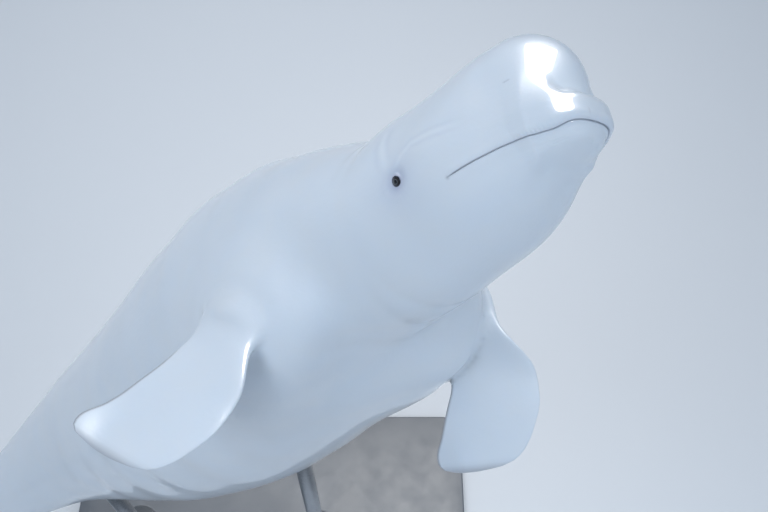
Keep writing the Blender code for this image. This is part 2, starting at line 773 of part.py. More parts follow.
def build_flipper(name, parts, helpers):
    """Broad paddle with a rounded end whose hind corner curls up, cut to the chest."""
    frame = flipper_frame(name)
    root_thick, end_thick = PADDLE_THICK
    lead = profile(PADDLE_ROWS, PADDLE[:, 0], PADDLE[:, 1])
    trail = profile(PADDLE_ROWS, PADDLE[:, 0], PADDLE[:, 2])
    thick = end_thick + (root_thick - end_thick) * (1 - np.clip(PADDLE_ROWS, 0, 1)) ** 1.3
    thick[-1] = end_thick / 2
    edges = list(zip(lead, trail))
    rings = blade_rings(PADDLE_ROWS, edges, thick, partial(flipper_points, frame))
    flipper = loft(name, rings, parts, "skin")
    apply_boolean(flipper, trunk_copy(("neck", "chest"), helpers), "DIFFERENCE")
    shade(flipper.data)
    return flipper


def fluke_points(side, t, along, rise):
    """World points of a fluke at a fraction of its span, a place along the body and a rise."""
    out = np.full_like(along, side * (FLUKE_NOTCH + t * FLUKE_HALF))
    return posed(np.stack((along, out, rise - FLUKE_DROOP * t * t), axis=1))


def build_fluke(name, side, parts, helpers):
    """One half of the tail fin, swept and rounded, cut to the tail stock."""
    t = FLUKE_ROWS
    root_thick, end_thick = FLUKE_THICK
    front = -(FLUKE_ROOT[0] + FLUKE_SWEEP * t ** 1.25 + FLUKE_HOOK * t ** 4)
    hind = -(FLUKE_ROOT[1] + FLUKE_BULGE * np.sin(np.pi * t ** 0.8) + FLUKE_TRAIL * t)
    middle = (front + hind) / 2
    half = (front - hind) / 2 * np.sqrt(1 - 0.94 * t ** 7)
    edges = list(zip(middle + half, middle - half))
    thick = end_thick + (root_thick - end_thick) * (1 - t) ** 1.4
    thick[-1] = end_thick / 2
    rings = blade_rings(t, edges, thick, partial(fluke_points, side))
    fluke = loft(name, rings, parts, "skin")
    apply_boolean(fluke, trunk_copy(("tail_stock",), helpers), "DIFFERENCE")
    shade(fluke.data)
    return fluke


def build_base(parts):
    """Flat slab with rounded corners and eased edges."""
    length, width, height = BASE_SIZE
    bm = bmesh.new()
    bmesh.ops.create_cube(bm, size=1.0)
    bmesh.ops.scale(bm, vec=(length, width, height), verts=bm.verts)
    bmesh.ops.translate(bm, verts=bm.verts, vec=(0, 0, height / 2))
    upright = [e for e in bm.edges if abs(e.verts[0].co.z - e.verts[1].co.z) > height / 2]
    bmesh.ops.bevel(bm, geom=upright, offset=BASE_ROUND, segments=8, profile=0.5, affect="EDGES")
    rim = [e for e in bm.edges if min(v.co.z for v in e.verts) > height * 0.99]
    rim = [e for e in rim if any(abs(f.normal.z) < 0.5 for f in e.link_faces)]
    bmesh.ops.bevel(bm, geom=rim, offset=BASE_EDGE, segments=2, profile=0.5, affect="EDGES")
    bmesh.ops.triangulate(bm, faces=bm.faces)
    mesh = bpy.data.meshes.new("stand_base")
    bm.to_mesh(mesh)
    bm.free()
    return link_object("stand_base", mesh, parts, "base")


def turned(name, outline, place, parts):
    """Round piece about an upright axis: a profile from its top down, with a Screw modifier."""
    mesh = bpy.data.meshes.new(name)
    points = [(0.0, 0.0, outline[0][1])]
    points += [(radius, 0.0, height) for radius, height in outline]
    points.append((0.0, 0.0, outline[-1][1]))
    mesh.from_pydata(points, [(i, i + 1) for i in range(len(points) - 1)], [])
    obj = link_object(name, mesh, parts, "rod")
    screw = obj.modifiers.new("turn", "SCREW")
    screw.steps = ROD_SIDES
    screw.render_steps = ROD_SIDES
    screw.use_merge_vertices = True
    screw.merge_threshold = 0.0001
    bpy.context.view_layer.update()
    graph = bpy.context.evaluated_depsgraph_get()
    solid = bpy.data.meshes.new_from_object(obj.evaluated_get(graph))
    obj.modifiers.clear()
    obj.data = solid
    bpy.data.meshes.remove(mesh)
    solid.name = name
    solid.transform(Matrix.Translation((place[0], place[1], 0.0)))
    return obj


def build_rod(name, parts, helpers):
    """Upright rod with a foot plate and a cradle whose top is cut to the body."""
    s, met = RODS[name]
    spot = posed(np.array((-s, 0.0, 0.0)))
    floor = BASE_SIZE[2] + GAP
    hit = under_side(spot, s)
    neck = hit - CRADLE_DEPTH
    foot_radius, foot_height = ROD_FOOT
    outline = [(CRADLE_RADIUS, hit + SINK_INTO_BODY)]
    outline += [(radius, neck + height) for radius, height in reversed(CRADLE_FLARE)]
    outline += [(ROD_RADIUS, neck), (ROD_RADIUS, floor + foot_height + ROD_COLLAR),
                (foot_radius, floor + foot_height), (foot_radius, floor)]
    rod = turned(name, outline, (spot[0], spot[1]), parts)
    apply_boolean(rod, trunk_copy(met, helpers), "DIFFERENCE")
    shade(rod.data)
    return rod


def under_side(spot, s):
    """World height of the body's under side straight below a point on the spine."""
    lowest = spot[2]
    for near in np.linspace(s - 0.6, s + 0.6, 49):
        ring = posed(section_ring(float(near), 96))
        flat = np.hypot(ring[:, 0] - spot[0], ring[:, 1] - spot[1])
        ring = ring[flat < 0.02]
        if len(ring):
            lowest = min(lowest, ring[:, 2].min())
    return lowest


def clear_scene():
    """Remove the objects of the open scene."""
    for obj in list(bpy.data.objects):
        bpy.data.objects.remove(obj, do_unlink=True)


def new_collection(name):
    """Collection linked to the scene."""
    collection = bpy.data.collections.new(name)
    bpy.context.scene.collection.children.link(collection)
    return collection


def main():
    """Build every node, then remove the helpers that cut them."""
    clear_scene()
    parts = new_collection("beluga_whale")
    helpers = new_collection("helpers")
    build_head(parts, helpers)
    build_eye("eye_right", -1, parts)
    build_eye("eye_left", 1, parts)
    for name in SEGMENTS:
        build_segment(name, parts)
    for name in FLIPPERS:
        build_flipper(name, parts, helpers)
    build_fluke("fluke_right", -1, parts, helpers)
    build_fluke("fluke_left", 1, parts, helpers)
    build_base(parts)
    for name in RODS:
        build_rod(name, parts, helpers)
    for obj in list(helpers.objects):
        bpy.data.objects.remove(obj, do_unlink=True)
    bpy.data.collections.remove(helpers)


main()
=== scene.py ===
"""Looks of the beluga whale, a still, life-size model on a plain display stand.

The whale's whole outside is one skin. It starts as a grid of rays that leave the body
where its field is zero, is made finer round the mouth, eyes and blowhole, takes its
lips, lids, folds and wrinkles as heights along the surface normal, and is then bent
along the posed spine. Flippers and flukes are blades that flare into it.

Body frame: +X forward, +Y left, +Z towards the back, and s = -x is the distance
behind the snout. World frame: +Z up, origin under the middle of the stand. Metres.
"""

from __future__ import annotations

import json
import logging
import math
from collections.abc import Iterator, Sequence
from contextlib import contextmanager
from dataclasses import dataclass, field
from enum import Enum

import bmesh
import bpy
import numpy as np
from mathutils import Matrix, Vector

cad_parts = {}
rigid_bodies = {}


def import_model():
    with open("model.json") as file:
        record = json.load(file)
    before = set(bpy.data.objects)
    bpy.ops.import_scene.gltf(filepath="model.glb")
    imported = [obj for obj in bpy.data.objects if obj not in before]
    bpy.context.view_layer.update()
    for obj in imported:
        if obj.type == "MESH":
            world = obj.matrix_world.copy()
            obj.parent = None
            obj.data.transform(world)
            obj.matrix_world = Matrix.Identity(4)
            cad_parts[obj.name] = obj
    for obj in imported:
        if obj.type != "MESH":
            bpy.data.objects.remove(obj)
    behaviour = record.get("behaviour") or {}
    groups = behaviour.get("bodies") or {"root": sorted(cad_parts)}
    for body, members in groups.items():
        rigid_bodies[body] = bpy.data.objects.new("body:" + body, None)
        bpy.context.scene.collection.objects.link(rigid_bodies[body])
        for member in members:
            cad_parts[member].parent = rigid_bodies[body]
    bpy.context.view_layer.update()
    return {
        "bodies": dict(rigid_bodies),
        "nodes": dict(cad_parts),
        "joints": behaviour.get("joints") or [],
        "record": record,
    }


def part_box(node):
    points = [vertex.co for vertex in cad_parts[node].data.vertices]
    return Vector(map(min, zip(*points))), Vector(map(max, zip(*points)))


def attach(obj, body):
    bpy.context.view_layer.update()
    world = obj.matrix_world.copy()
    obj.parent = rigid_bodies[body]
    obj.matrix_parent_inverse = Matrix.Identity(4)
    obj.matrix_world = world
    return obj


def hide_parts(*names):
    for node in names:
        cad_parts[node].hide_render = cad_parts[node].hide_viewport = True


LOG = logging.getLogger("beluga")
Array = np.ndarray
Point = tuple[float, float, float]
Span = tuple[float, float]
Colour = tuple[float, float, float, float]
Finish = bpy.types.Material
Socket = bpy.types.NodeSocket
# Shares of colour that the skin's material reads from its points, painted shade and highlight among them
# The bluish tint is painted shade, the pale one painted highlight on the folds' crests, and the dark one
# painted shade in the slits and the mouth's corner beside the real dark of lid edges and scars
TINTS = ("dark", "pink", "pale", "lilac", "edge")
# Points whose distances are measured in one go
BATCH = 2000
# Keeps powers and quotients away from zero
TINY = 1e-6


class Side(Enum):
    """The whale's own sides, with the sign of Y on each."""

    RIGHT = -1
    LEFT = 1


def smooth_step(x: Array | float, low: float, high: float) -> Array:
    """Rise from 0 at low to 1 at high as 3t^2 - 2t^3."""
    t = np.clip((np.asarray(x) - low) / (high - low), 0.0, 1.0)
    return t * t * (3.0 - 2.0 * t)


def plateau(x: Array, rise: Span, fall: Span) -> Array:
    """Rise from 0 to 1 over one span and fall back to 0 over another."""
    return smooth_step(x, *rise) * (1 - smooth_step(x, *fall))


def bell(x: Array, width: float) -> Array:
    """Bell curve: e to the minus square of x over the width."""
    return np.exp(-((x / width) ** 2))


def unit(v: Array) -> Array:
    """Vectors divided by their lengths."""
    return v / np.maximum(np.linalg.norm(v, axis=-1, keepdims=True), 1e-12)


def even_curve(x: Array, xs: Array, ys: Array) -> Array:
    """Cubic through the points (xs, ys) whose slopes are harmonic means, so it never overshoots.

    Args:
        x: Places where the curve is wanted.
        xs: Rising places of the points.
        ys: Heights of the points.

    Returns:
        Heights of the curve at x.
    """
    h = np.diff(xs)
    d = np.diff(ys) / h
    m = np.zeros(len(xs))
    m[0], m[-1] = d[0], d[-1]
    inner = d[:-1] * d[1:] > 0
    w1, w2 = 2 * h[1:] + h[:-1], h[1:] + 2 * h[:-1]
    before = np.where(inner, d[:-1], 1.0)
    after = np.where(inner, d[1:], 1.0)
    m[1:-1] = np.where(inner, (w1 + w2) / (w1 / before + w2 / after), 0.0)
    x = np.clip(x, xs[0], xs[-1])
    k = np.clip(np.searchsorted(xs, x) - 1, 0, len(xs) - 2)
    t = (x - xs[k]) / h[k]
    start = ys[k] * (1 + 2 * t) + m[k] * h[k] * t
    end = ys[k + 1] * (3 - 2 * t) + m[k + 1] * h[k] * (t - 1)
    return start * (1 - t) ** 2 + end * t * t


def smooth_join(a: Array, b: Array, blend: Array | float) -> Array:
    """The smaller of two fields, less a fillet blend*h*(1-h) where they are close."""
    h = np.clip(0.5 + 0.5 * (b - a) / blend, 0.0, 1.0)
    return b * (1 - h) + a * h - blend * h * (1 - h)


def distance_to_path(p: Array, path: Sequence[Sequence[float]]) -> tuple[Array, Array]:
    """Distance from points to a broken line, and the share of its length at the nearest place.

    Args:
        p: Points, in as many dimensions as the line.
        path: Corners of the line.

    Returns:
        The distances, and the shares from 0 at its start to 1 at its end.
    """
    corners = np.array(path, dtype=float)
    runs = np.diff(corners, axis=0)
    lengths = np.linalg.norm(runs, axis=1)
    done = np.concatenate(((0.0,), np.cumsum(lengths)))
    best = np.full(p.shape[:-1], np.inf)
    share = np.zeros(p.shape[:-1])
    for start, run, length, before in zip(corners, runs, lengths, done):
        t = np.clip(((p - start) @ run) / length**2, 0.0, 1.0)
        gap = np.linalg.norm(p - start - t[..., None] * run, axis=-1)
        nearer = gap < best
        best = np.where(nearer, gap, best)
        share = np.where(nearer, (before + t * length) / done[-1], share)
    return best, share


@dataclass(frozen=True)
class RoundedMass:
    """A rounded mass of the head: its centre, half sizes, squareness and tilt.

    Its squareness is a power in plan and one in height: 2 gives an oval, more a box. Behind
    its centre it may have another half length.
    """

    centre: Point
    size: Point
    square: Span = (2.0, 2.0)
    tilt: float = 0.0
    back: float | None = None

    def distance(self, p: Array) -> Array:
        """Rough distance: (k - 1) over its slope, with k^m = (|x/a|^n + |y/b|^n)^(m/n) + |z/c|^m.

        Args:
            p: Points in the body frame.

        Returns:
            The distances, negative inside.
        """
        flat, tall = self.square
        q = p - np.array(self.centre)
        ca, sa = math.cos(self.tilt), math.sin(self.tilt)
        x = q[..., 0] * ca + q[..., 2] * sa
        z = q[..., 2] * ca - q[..., 0] * sa
        if self.back is not None:
            x = np.where(x < 0, x * self.size[0] / self.back, x)
        u = np.abs(x / self.size[0]) + TINY
        v = np.abs(q[..., 1] / self.size[1]) + TINY
        w = np.abs(z / self.size[2]) + TINY
        plan = u**flat + v**flat
        k = (plan ** (tall / flat) + w**tall) ** (1 / tall)
        steep = plan ** (tall / flat - 1)
        gx = steep * u ** (flat - 1) / self.size[0]
        gy = steep * v ** (flat - 1) / self.size[1]
        gz = w ** (tall - 1) / self.size[2]
        g = np.sqrt(gx**2 + gy**2 + gz**2) * k ** (1 - tall)
        return (k - 1) / np.maximum(g, TINY)


@dataclass(frozen=True)
class WhaleForm:
    """The body as one field in its own frame, before it is posed."""

    # Distance behind the snout, height above and below the spine, half width
    trunk: tuple[tuple[float, float, float, float], ...] = (
        (0.12, 0.120, 0.070, 0.070),
        (0.20, 0.199, 0.128, 0.138),
        (0.30, 0.216, 0.179, 0.175),
        (0.45, 0.232, 0.221, 0.198),
        (0.58, 0.209, 0.243, 0.222),
        (0.72, 0.230, 0.285, 0.255),
        (0.86, 0.275, 0.331, 0.308),
        (1.02, 0.352, 0.388, 0.360),
        (1.30, 0.412, 0.428, 0.410),
        (1.60, 0.424, 0.436, 0.418),
        (2.00, 0.396, 0.408, 0.389),
        (2.50, 0.325, 0.333, 0.300),
        (3.00, 0.234, 0.232, 0.188),
        (3.40, 0.166, 0.164, 0.112),
        (3.80, 0.108, 0.103, 0.064),
        (4.05, 0.060, 0.056, 0.044),
        (4.16, 0.030, 0.028, 0.030),
    )
    # The trunk starts this far behind the snout, inside the head's masses
    trunk_front: float = 0.13
    melon: RoundedMass = RoundedMass((-0.158, 0.0, 0.111), (0.140, 0.123, 0.140), back=0.26)
    beak: RoundedMass = RoundedMass((-0.123, 0.0, 0.009), (0.130, 0.104, 0.050), (2.7, 3.0), 0.04)
    jaw: RoundedMass = RoundedMass((-0.150, 0.0, -0.032), (0.139, 0.085, 0.038), (2.6, 2.8), 0.06)
    cheek: RoundedMass = RoundedMass((-0.313, 0.0, -0.019), (0.149, 0.161, 0.1325))
    shoulder: RoundedMass = RoundedMass((-1.04, 0.235, -0.185), (0.36, 0.155, 0.190))
    # Fillet of the crease under the melon, and the distances behind the snout and from the
    # middle plane over which it widens to the trunk's fillet
    crease_blend: float = 0.014
    crease_span: Span = (0.070, 0.200)
    crease_half: Span = (0.035, 0.090)
    # Fillets of the other masses
    jaw_blend: float = 0.010
    cheek_blend: float = 0.130
    trunk_blend: float = 0.070
    shoulder_blend: float = 0.110
    # Distance behind the snout and height along the mouth line, from its tip to its corner
    mouth_line: tuple[Span, ...] = (
        (0.000, -0.0172),
        (0.016, -0.0195),
        (0.032, -0.0232),
        (0.052, -0.0267),
        (0.080, -0.0284),
        (0.112, -0.0276),
        (0.144, -0.0294),
        (0.178, -0.0346),
        (0.221, -0.0424),
        (0.262, -0.0512),
    )
    # Length of the rays and how often it is halved, and the step for slopes
    reach: float = 0.60
    halvings: int = 26
    slope_step: float = 0.0005

    def section(self, s: Array) -> tuple[Array, Array, Array]:
        """Size of the trunk.

        Args:
            s: Distances behind the snout.

        Returns:
            Height above the spine, height below it and half width at each.
        """
        rows = np.array(self.trunk)
        top, below, half = (even_curve(s, rows[:, 0], rows[:, i]) for i in (1, 2, 3))
        return top, below, half

    def field(self, p: Array) -> Array:
        """Trunk, shoulders, melon, beak, jaw and cheeks joined with fillets.

        The trunk is (r - 1) times its smaller half size, where r is a point's distance from
        its middle line over the oval's there. Near the snout's tip the fillet between beak
        and melon narrows to a crease.

        Args:
            p: Points in the body frame.

        Returns:
            Rough distance from the surface, negative inside.
        """
        s = -p[..., 0]
        top, below, half = self.section(s)
        middle, height = (top - below) / 2, (top + below) / 2
        ring = np.sqrt((p[..., 1] / half) ** 2 + ((p[..., 2] - middle) / height) ** 2)
        trunk = np.maximum((ring - 1) * np.minimum(half, height), self.trunk_front - s)
        one_side = np.stack((p[..., 0], np.abs(p[..., 1]), p[..., 2]), axis=-1)
        trunk = smooth_join(trunk, self.shoulder.distance(one_side), self.shoulder_blend)
        snout = smooth_join(self.beak.distance(p), self.jaw.distance(p), self.jaw_blend)
        snout = smooth_join(snout, self.cheek.distance(p), self.cheek_blend)
        upper = smooth_join(trunk, self.melon.distance(p), self.trunk_blend)
        sharp = 1 - smooth_step(s, *self.crease_span)
        sharp = sharp * (1 - smooth_step(np.abs(p[..., 1]), *self.crease_half))
        blend = self.trunk_blend + (self.crease_blend - self.trunk_blend) * sharp
        return smooth_join(snout, upper, blend)

    def slope(self, p: Array) -> Array:
        """Gradient of the field: (f(p + h) - f(p - h)) / 2h along each axis.

        Args:
            p: Points in the body frame.

        Returns:
            One vector a point.
        """
        steps = np.eye(3) * self.slope_step
        parts = [(self.field(p + a) - self.field(p - a)) / (2 * self.slope_step) for a in steps]
        return np.stack(parts, axis=-1)

    def normal(self, p: Array) -> Array:
        """Outward unit normal of the surface near p."""
        return unit(self.slope(p))

    def cast(self, origins: Array, directions: Array) -> Array:
        """Points where rays from inside leave the body, by halving.

        Args:
            origins: Where the rays start.
            directions: Their unit directions.

        Returns:
            One point a ray.
        """
        low = np.zeros(origins.shape[:-1])
        high = np.full(origins.shape[:-1], self.reach)
        for _ in range(self.halvings):
            mid = (low + high) / 2
            inside = self.field(origins + directions * mid[..., None]) < 0
            low, high = np.where(inside, mid, low), np.where(inside, high, mid)
        return origins + directions * ((low + high) / 2)[..., None]

    def settle(self, p: Array, steps: int = 3) -> Array:
        """Points moved onto the surface, each step by field times slope over slope squared.

        Args:
            p: Points near the surface.
            steps: How many steps they make.

        Returns:
            The moved points.
        """
        for _ in range(steps):
            g = self.slope(p)
            p = p - g * (self.field(p) / np.maximum((g * g).sum(axis=-1), 1e-9))[..., None]
        return p

    def mouth_height(self, s: Array) -> Array:
        """Height of the mouth line at s."""
        rows = np.array(self.mouth_line)
        return even_curve(s, rows[:, 0], rows[:, 1])


@dataclass
class PosedSpine:
    """The spine's curve in the world: where it starts, how it is turned and where it bends."""

    # Place of the snout, and the head's heading, rise and roll in degrees
    snout: Point = (1.023, -0.195, 3.631)
    heading: float = -7.5
    rise: float = 52.3
    roll: float = -70.6
    # Middle and half length of each bend, then its turns up, left and in roll in degrees
    bends: tuple[tuple[float, ...], ...] = (
        (0.56, 0.12, 15.1, -4.7, 12.5),
        (0.82, 0.14, -21.1, -8.7, -5.7),
        (1.25, 0.30, -0.7, 10.6, -0.1),
        (1.95, 0.40, 8.3, 9.8, 0.0),
        (2.80, 0.40, -14.0, 10.0, 3.0),
        (3.50, 0.32, -16.0, 10.0, 3.0),
    )
    step: float = 0.01
    end: float = 4.40
    # Rounds in which a point's place along the spine is found
    rounds: int = 12
    places: Array = field(init=False, repr=False)
    axes: Array = field(init=False, repr=False)

    def __post_init__(self) -> None:
        """Walk back from the snout, turning the frame by the bends' bell-shaped shares."""
        heading, rise, roll = (math.radians(a) for a in (self.heading, self.rise, self.roll))
        forward = np.array((math.cos(rise) * math.cos(heading),
                            math.cos(rise) * math.sin(heading), math.sin(rise)))
        level_left = np.array((-math.sin(heading), math.cos(heading), 0.0))
        level_back = np.cross(forward, level_left)
        left = math.cos(roll) * level_left + math.sin(roll) * level_back
        frame = np.stack((forward, left, np.cross(forward, left)), axis=1)
        place = np.array(self.snout, dtype=float)
        places, frames = [place], [frame]
        for i in range(round(self.end / self.step)):
            s = (i + 0.5) * self.step
            rates = np.zeros(3)
            for middle, half, up, side, turn in self.bends:
                share = math.exp(-(((s - middle) / half) ** 2)) / (half * math.sqrt(math.pi))
                rates += share * np.radians((turn, up, side))
            angle = float(np.linalg.norm(rates) * self.step)
            axis = Vector(rates * self.step / angle) if angle > 1e-12 else Vector((1, 0, 0))
            frame = frame @ np.array(Matrix.Rotation(angle, 3, axis))
            place = place - frame[:, 0] * self.step
            places.append(place)
            frames.append(frame)
        self.places, self.axes = np.array(places), np.array(frames)

    def frame_at(self, s: Array | float) -> tuple[Array, Array]:
        """Place and axes of the spine, blended between the steps.

        Args:
            s: Distances behind the snout.

        Returns:
            The places, and the axes as columns: forward, left and back.
        """
        i = np.clip(np.asarray(s, dtype=float) / self.step, 0, len(self.places) - 1.001)
        k = np.floor(i).astype(int)
        t = (i - k)[..., None]
        place = self.places[k] * (1 - t) + self.places[k + 1] * t
        t = t[..., None]
        return place, self.axes[k] * (1 - t) + self.axes[k + 1] * t

    def carry(self, p: Array) -> Array:
        """Body-frame points to the world: place(s) plus y left and z back.

        Args:
            p: Points in the body frame. Ahead of the snout they go straight on.

        Returns:
            The same points in the world.
        """
        place, axes = self.frame_at(-p[..., 0])
        ahead = np.maximum(p[..., 0:1], 0.0) * axes[..., :, 0]
        return place + ahead + axes[..., :, 1] * p[..., 1:2] + axes[..., :, 2] * p[..., 2:3]

    def return_to_body(self, w: Array, start: float) -> Array:
        """World points back to the body frame, moving s until the point lies across the spine.

        Args:
            w: Points in the world.
            start: About how far behind the snout they are.

        Returns:
            The same points in the body frame.
        """
        s = np.full(w.shape[:-1], start)
        for _ in range(self.rounds):
            place, axes = self.frame_at(s)
            s = s - ((w - place) * axes[..., :, 0]).sum(axis=-1)
        place, axes = self.frame_at(s)
        off = w - place
        y = (off * axes[..., :, 1]).sum(axis=-1)
        z = (off * axes[..., :, 2]).sum(axis=-1)
        return np.stack((-s, y, z), axis=-1)


@dataclass
class EyeSeat:
    """Where an eye sits: its ball in the body frame, whose axis leans towards the belly."""

    form: WhaleForm
    spine: PosedSpine
    side: Side
    # Distance behind the snout and height
    at: Span = (0.390, -0.003)
    radius: float = 0.020
    # How far the ball's centre lies behind the skin, along its look and straight out
    sink: float = 0.0175
    lift: float = -0.0020
    lean: float = math.radians(21)
    # Distance to the rays beside it that show how the skin slopes
    feeler: float = 0.03
    # Least height of the sphere over the skin's plane, as a share of its radius
    flat_share: float = 0.25
    place: Array = field(init=False)
    ahead: Array = field(init=False)
    up: Array = field(init=False)
    out: Array = field(init=False)
    centre: Array = field(init=False)

    def __post_init__(self) -> None:
        """Find the skin's place and directions at the eye by three rays, then the ball's centre."""
        s, z = self.at
        origin = np.array((-s, 0.0, z))
        sideways = np.array((0.0, float(self.side.value), 0.0))
        steps = ((0, 0, 0), (self.feeler, 0, 0), (0, 0, self.feeler))
        p, ahead, above = (self.form.cast(origin + np.array(step), sideways) for step in steps)
        self.place = p
        self.ahead = unit(ahead - p)
        self.out = unit(np.cross(self.ahead, above - p)) * -self.side.value
        self.up = unit(np.cross(self.out, self.ahead)) * -self.side.value
        self.centre = p + self.out * self.lift - self.look() * self.sink

    def look(self) -> Array:
        """Direction in which the eye looks: outward, leaning down."""
        return self.out * math.cos(self.lean) - self.up * math.sin(self.lean)

    def world_frame(self) -> tuple[Array, Array]:
        """The eyeball's seat in the posed whale.

        Returns:
            Its centre, and its axes as columns: forward, across and along its look.
        """
        steps = (np.zeros(3), self.ahead * self.feeler, self.look() * self.feeler)
        centre, ahead, front = (self.spine.carry(self.centre + step) for step in steps)
        out = unit(front - centre)
        x = ahead - centre
        x = unit(x - out * (x @ out))
        return centre, np.stack((x, np.cross(out, x), out), axis=1)

    def over_ball(self, p: Array, reach: float) -> tuple[Array, Array]:
        """Points of a sphere round the ball straight out from points of the skin.

        Args:
            p: Points on the smooth body.
            reach: Radius of the sphere.

        Returns:
            Their directions from the ball's centre, as forward, up across the look, and along
            the look, and how far outward they are from p.
        """
        off = p - self.centre
        a, b, c = off @ self.ahead, off @ self.up, off @ self.out
        height = np.sqrt(np.maximum(reach**2 - a * a - b * b, (self.flat_share * reach) ** 2))
        cl, sl = math.cos(self.lean), math.sin(self.lean)
        aim = np.stack((a, b * cl + height * sl, height * cl - b * sl), axis=-1)
        return unit(aim), height - c


@dataclass(frozen=True)
class SkinMark:
    """A small line on the skin, such as a scar: its path, width, height and tints."""

    path: tuple[Point, ...]
    width: float
    rise: float = 0.0
    pink: float = 0.0
    dark: float = 0.0


@dataclass
class SkinRelief:
    """Heights and tints of the small forms, as functions of a point on the smooth body."""

    form: WhaleForm
    eyes: tuple[EyeSeat, ...]
    # Half width and depth of the mouth's slit
    lip_gap: float = 0.0012
    lip_depth: float = 0.0050
    # Distances behind the snout over which the lips change to their size at the corner
    lip_change: Span = (0.02, 0.16)
    # Distances from the corner over which the mouth closes
    corner_fade: Span = (-0.020, 0.006)
    # Middle and half width of each lip, and how far it stands out at the tip and the corner
    upper_lip: tuple[float, float, float, float] = (0.0090, 0.0100, 0.0030, 0.0010)
    lower_lip: tuple[float, float, float, float] = (0.0080, 0.0090, 0.0012, 0.0006)
    # Creases across the upper lip: spacing, height, and middle and half length of their row
    lip_creases: tuple[float, float, float, float] = (0.0075, 0.0007, 0.070, 0.040)
    # How far that row lies over the mouth line, and its half width
    crease_row: Span = (0.010, 0.0075)
    # Waves along the chin: spacing, height, and how far they lie under the mouth line
    chin_waves: Point = (0.011, 0.0003, 0.030)
    # Their half width, and the middle and half length of their row
    chin_row: Point = (0.018, 0.06, 0.04)
    # Points farther than this from an eye aren't on its lids, and get a far larger oval radius
    eye_field: Span = (0.09, 20.0)
    # Half angles of the lids' opening along and across, as the eyeball's centre sees it
    lid_open: Span = (math.radians(31), math.radians(36))
    lid_tilt: float = math.radians(-20)
    # Its corners: how far they are drawn out, their half width, and the run that leads there
    lid_corners: tuple[float, float, Span] = (0.10, 0.5, (0.4, 1.0))
    # Lids: thickness at the edge and at the welt, and the deepest that they sink under the eye
    lid_thick: Span = (0.0006, 0.0016)
    lid_sink: float = 0.0045
    # Oval radii between edge and welt
    lid_welt: Span = (1.0, 1.5)
    # How deep the skin drops behind the ball in the opening, and over which oval radii
    lid_pocket: float = 0.0110
    lid_drop: Span = (0.92, 1.03)
    # Folds round the lids: oval radius, width and depth
    lid_rings: tuple[Point, ...] = ((1.60, 0.12, 0.0006), (2.00, 0.14, 0.0005))
    # Height of the fine rays across them
    lid_ray: float = 0.0003
    # Over these distances from the eye the lids give way to the smooth head
    lid_reach: Span = (0.013, 0.040)
    # Blowhole: distance behind the snout and to the left, and radius and half angle of its arc
    blow_at: Span = (0.415, 0.012)
    blow_radius: float = 0.040
    blow_spread: float = math.radians(58)
    # Shares of its half angle over which the arc fades out
    blow_ends: Span = (0.72, 1.08)
    # Half width and depth of its slit
    blow_slit: float = 0.0020
    blow_depth: float = 0.012
    # Raised lips beside the slit: height, place and half width
    blow_lips: Point = (0.0034, 0.0085, 0.0070)
    # Plug ahead of the slit: height, half width and how far ahead
    blow_plug: Point = (0.0022, 0.022, 0.012)
    # Points higher than this are on the back
    back_from: float = 0.05
    # Ridge: where along the body, its height and half width, and the run of each end
    ridge_span: Span = (1.75, 3.05)
    ridge: Span = (0.022, 0.034)
    ridge_fade: float = 0.5
    # Notches of the ridge: spacing and share of its height
    ridge_knobs: tuple[Span, ...] = ((0.055, 0.10), (0.023, 0.06))
    # Creases under the throat and over the nape: place, width and depth
    throat_creases: tuple[Point, ...] = (
        (0.555, 0.018, 0.0030),
        (0.625, 0.022, 0.0036),
        (0.700, 0.026, 0.0030),
    )
    nape_creases: tuple[Point, ...] = ((0.535, 0.016, 0.0022), (0.590, 0.018, 0.0018))
    # Depths below the spine and heights over it at which they set in
    throat_from: Span = (-0.02, 0.16)
    nape_from: Span = (0.05, 0.16)
    # Rolls of blubber along the flanks: height and spacing, where along the body and how far
    # below the spine they set in, and middle and half width of their row to the side
    rolls: Span = (0.0035, 0.26)
    roll_spans: tuple[Span, Span] = ((1.15, 1.5), (2.4, 2.9))
    roll_from: Span = (0.02, 0.20)
    roll_row: Span = (0.24, 0.13)
    # Height of the slight unevenness of the body, and where along it that sets in
    uneven: float = 0.0007
    uneven_from: Span = (0.05, 0.6)
    # Soft folds on both sides of the head, as distance behind the snout and height, then
    # the width and height of each
    folds: tuple[tuple[tuple[Span, ...], float, float], ...] = (
        (((0.392, 0.014), (0.387, 0.026), (0.369, 0.045), (0.335, 0.062), (0.285, 0.061),
          (0.200, 0.047)), 0.0060, 0.0005),
        (((0.412, 0.026), (0.424, 0.060), (0.436, 0.105), (0.438, 0.160)), 0.0100, 0.0005),
    )
    # Over these distances from the middle plane the folds set in, and over these shares of
    # their length they rise and end
    fold_side: Span = (0.05, 0.10)
    fold_ends: tuple[Span, Span] = ((0.0, 0.12), (0.80, 1.0))
    # Furrow beside each: distance in widths, and share of its height
    furrow: Span = (1.7, 0.8)
    # Longest edges that the mesh may have: on plain skin, at folds and at marks
    plain_edge: float = 0.02
    crease_edge: float = 0.0055
    mark_edge: float = 0.0030
    # Each distance from mouth, eye or blowhole with the longest edge within it
    mouth_edges: tuple[Span, ...] = ((0.055, 0.0055), (0.022, 0.0030), (0.0075, 0.0014))
    eye_edges: tuple[Span, ...] = ((0.085, 0.0055), (0.042, 0.0030))
    blow_edges: tuple[Span, ...] = ((0.030, 0.0055), (0.014, 0.0030), (0.0060, 0.0016))
    # Two oval radii round an eye, and the longest edge between them
    lid_edge: Point = (0.55, 1.5, 0.0014)
    # How far past its corner the mouth's edges count, and where the crease under the melon is:
    # this far behind the snout at most, and between these heights
    mouth_past: float = 0.03
    crease_area: tuple[float, Span] = (0.12, (0.01, 0.10))
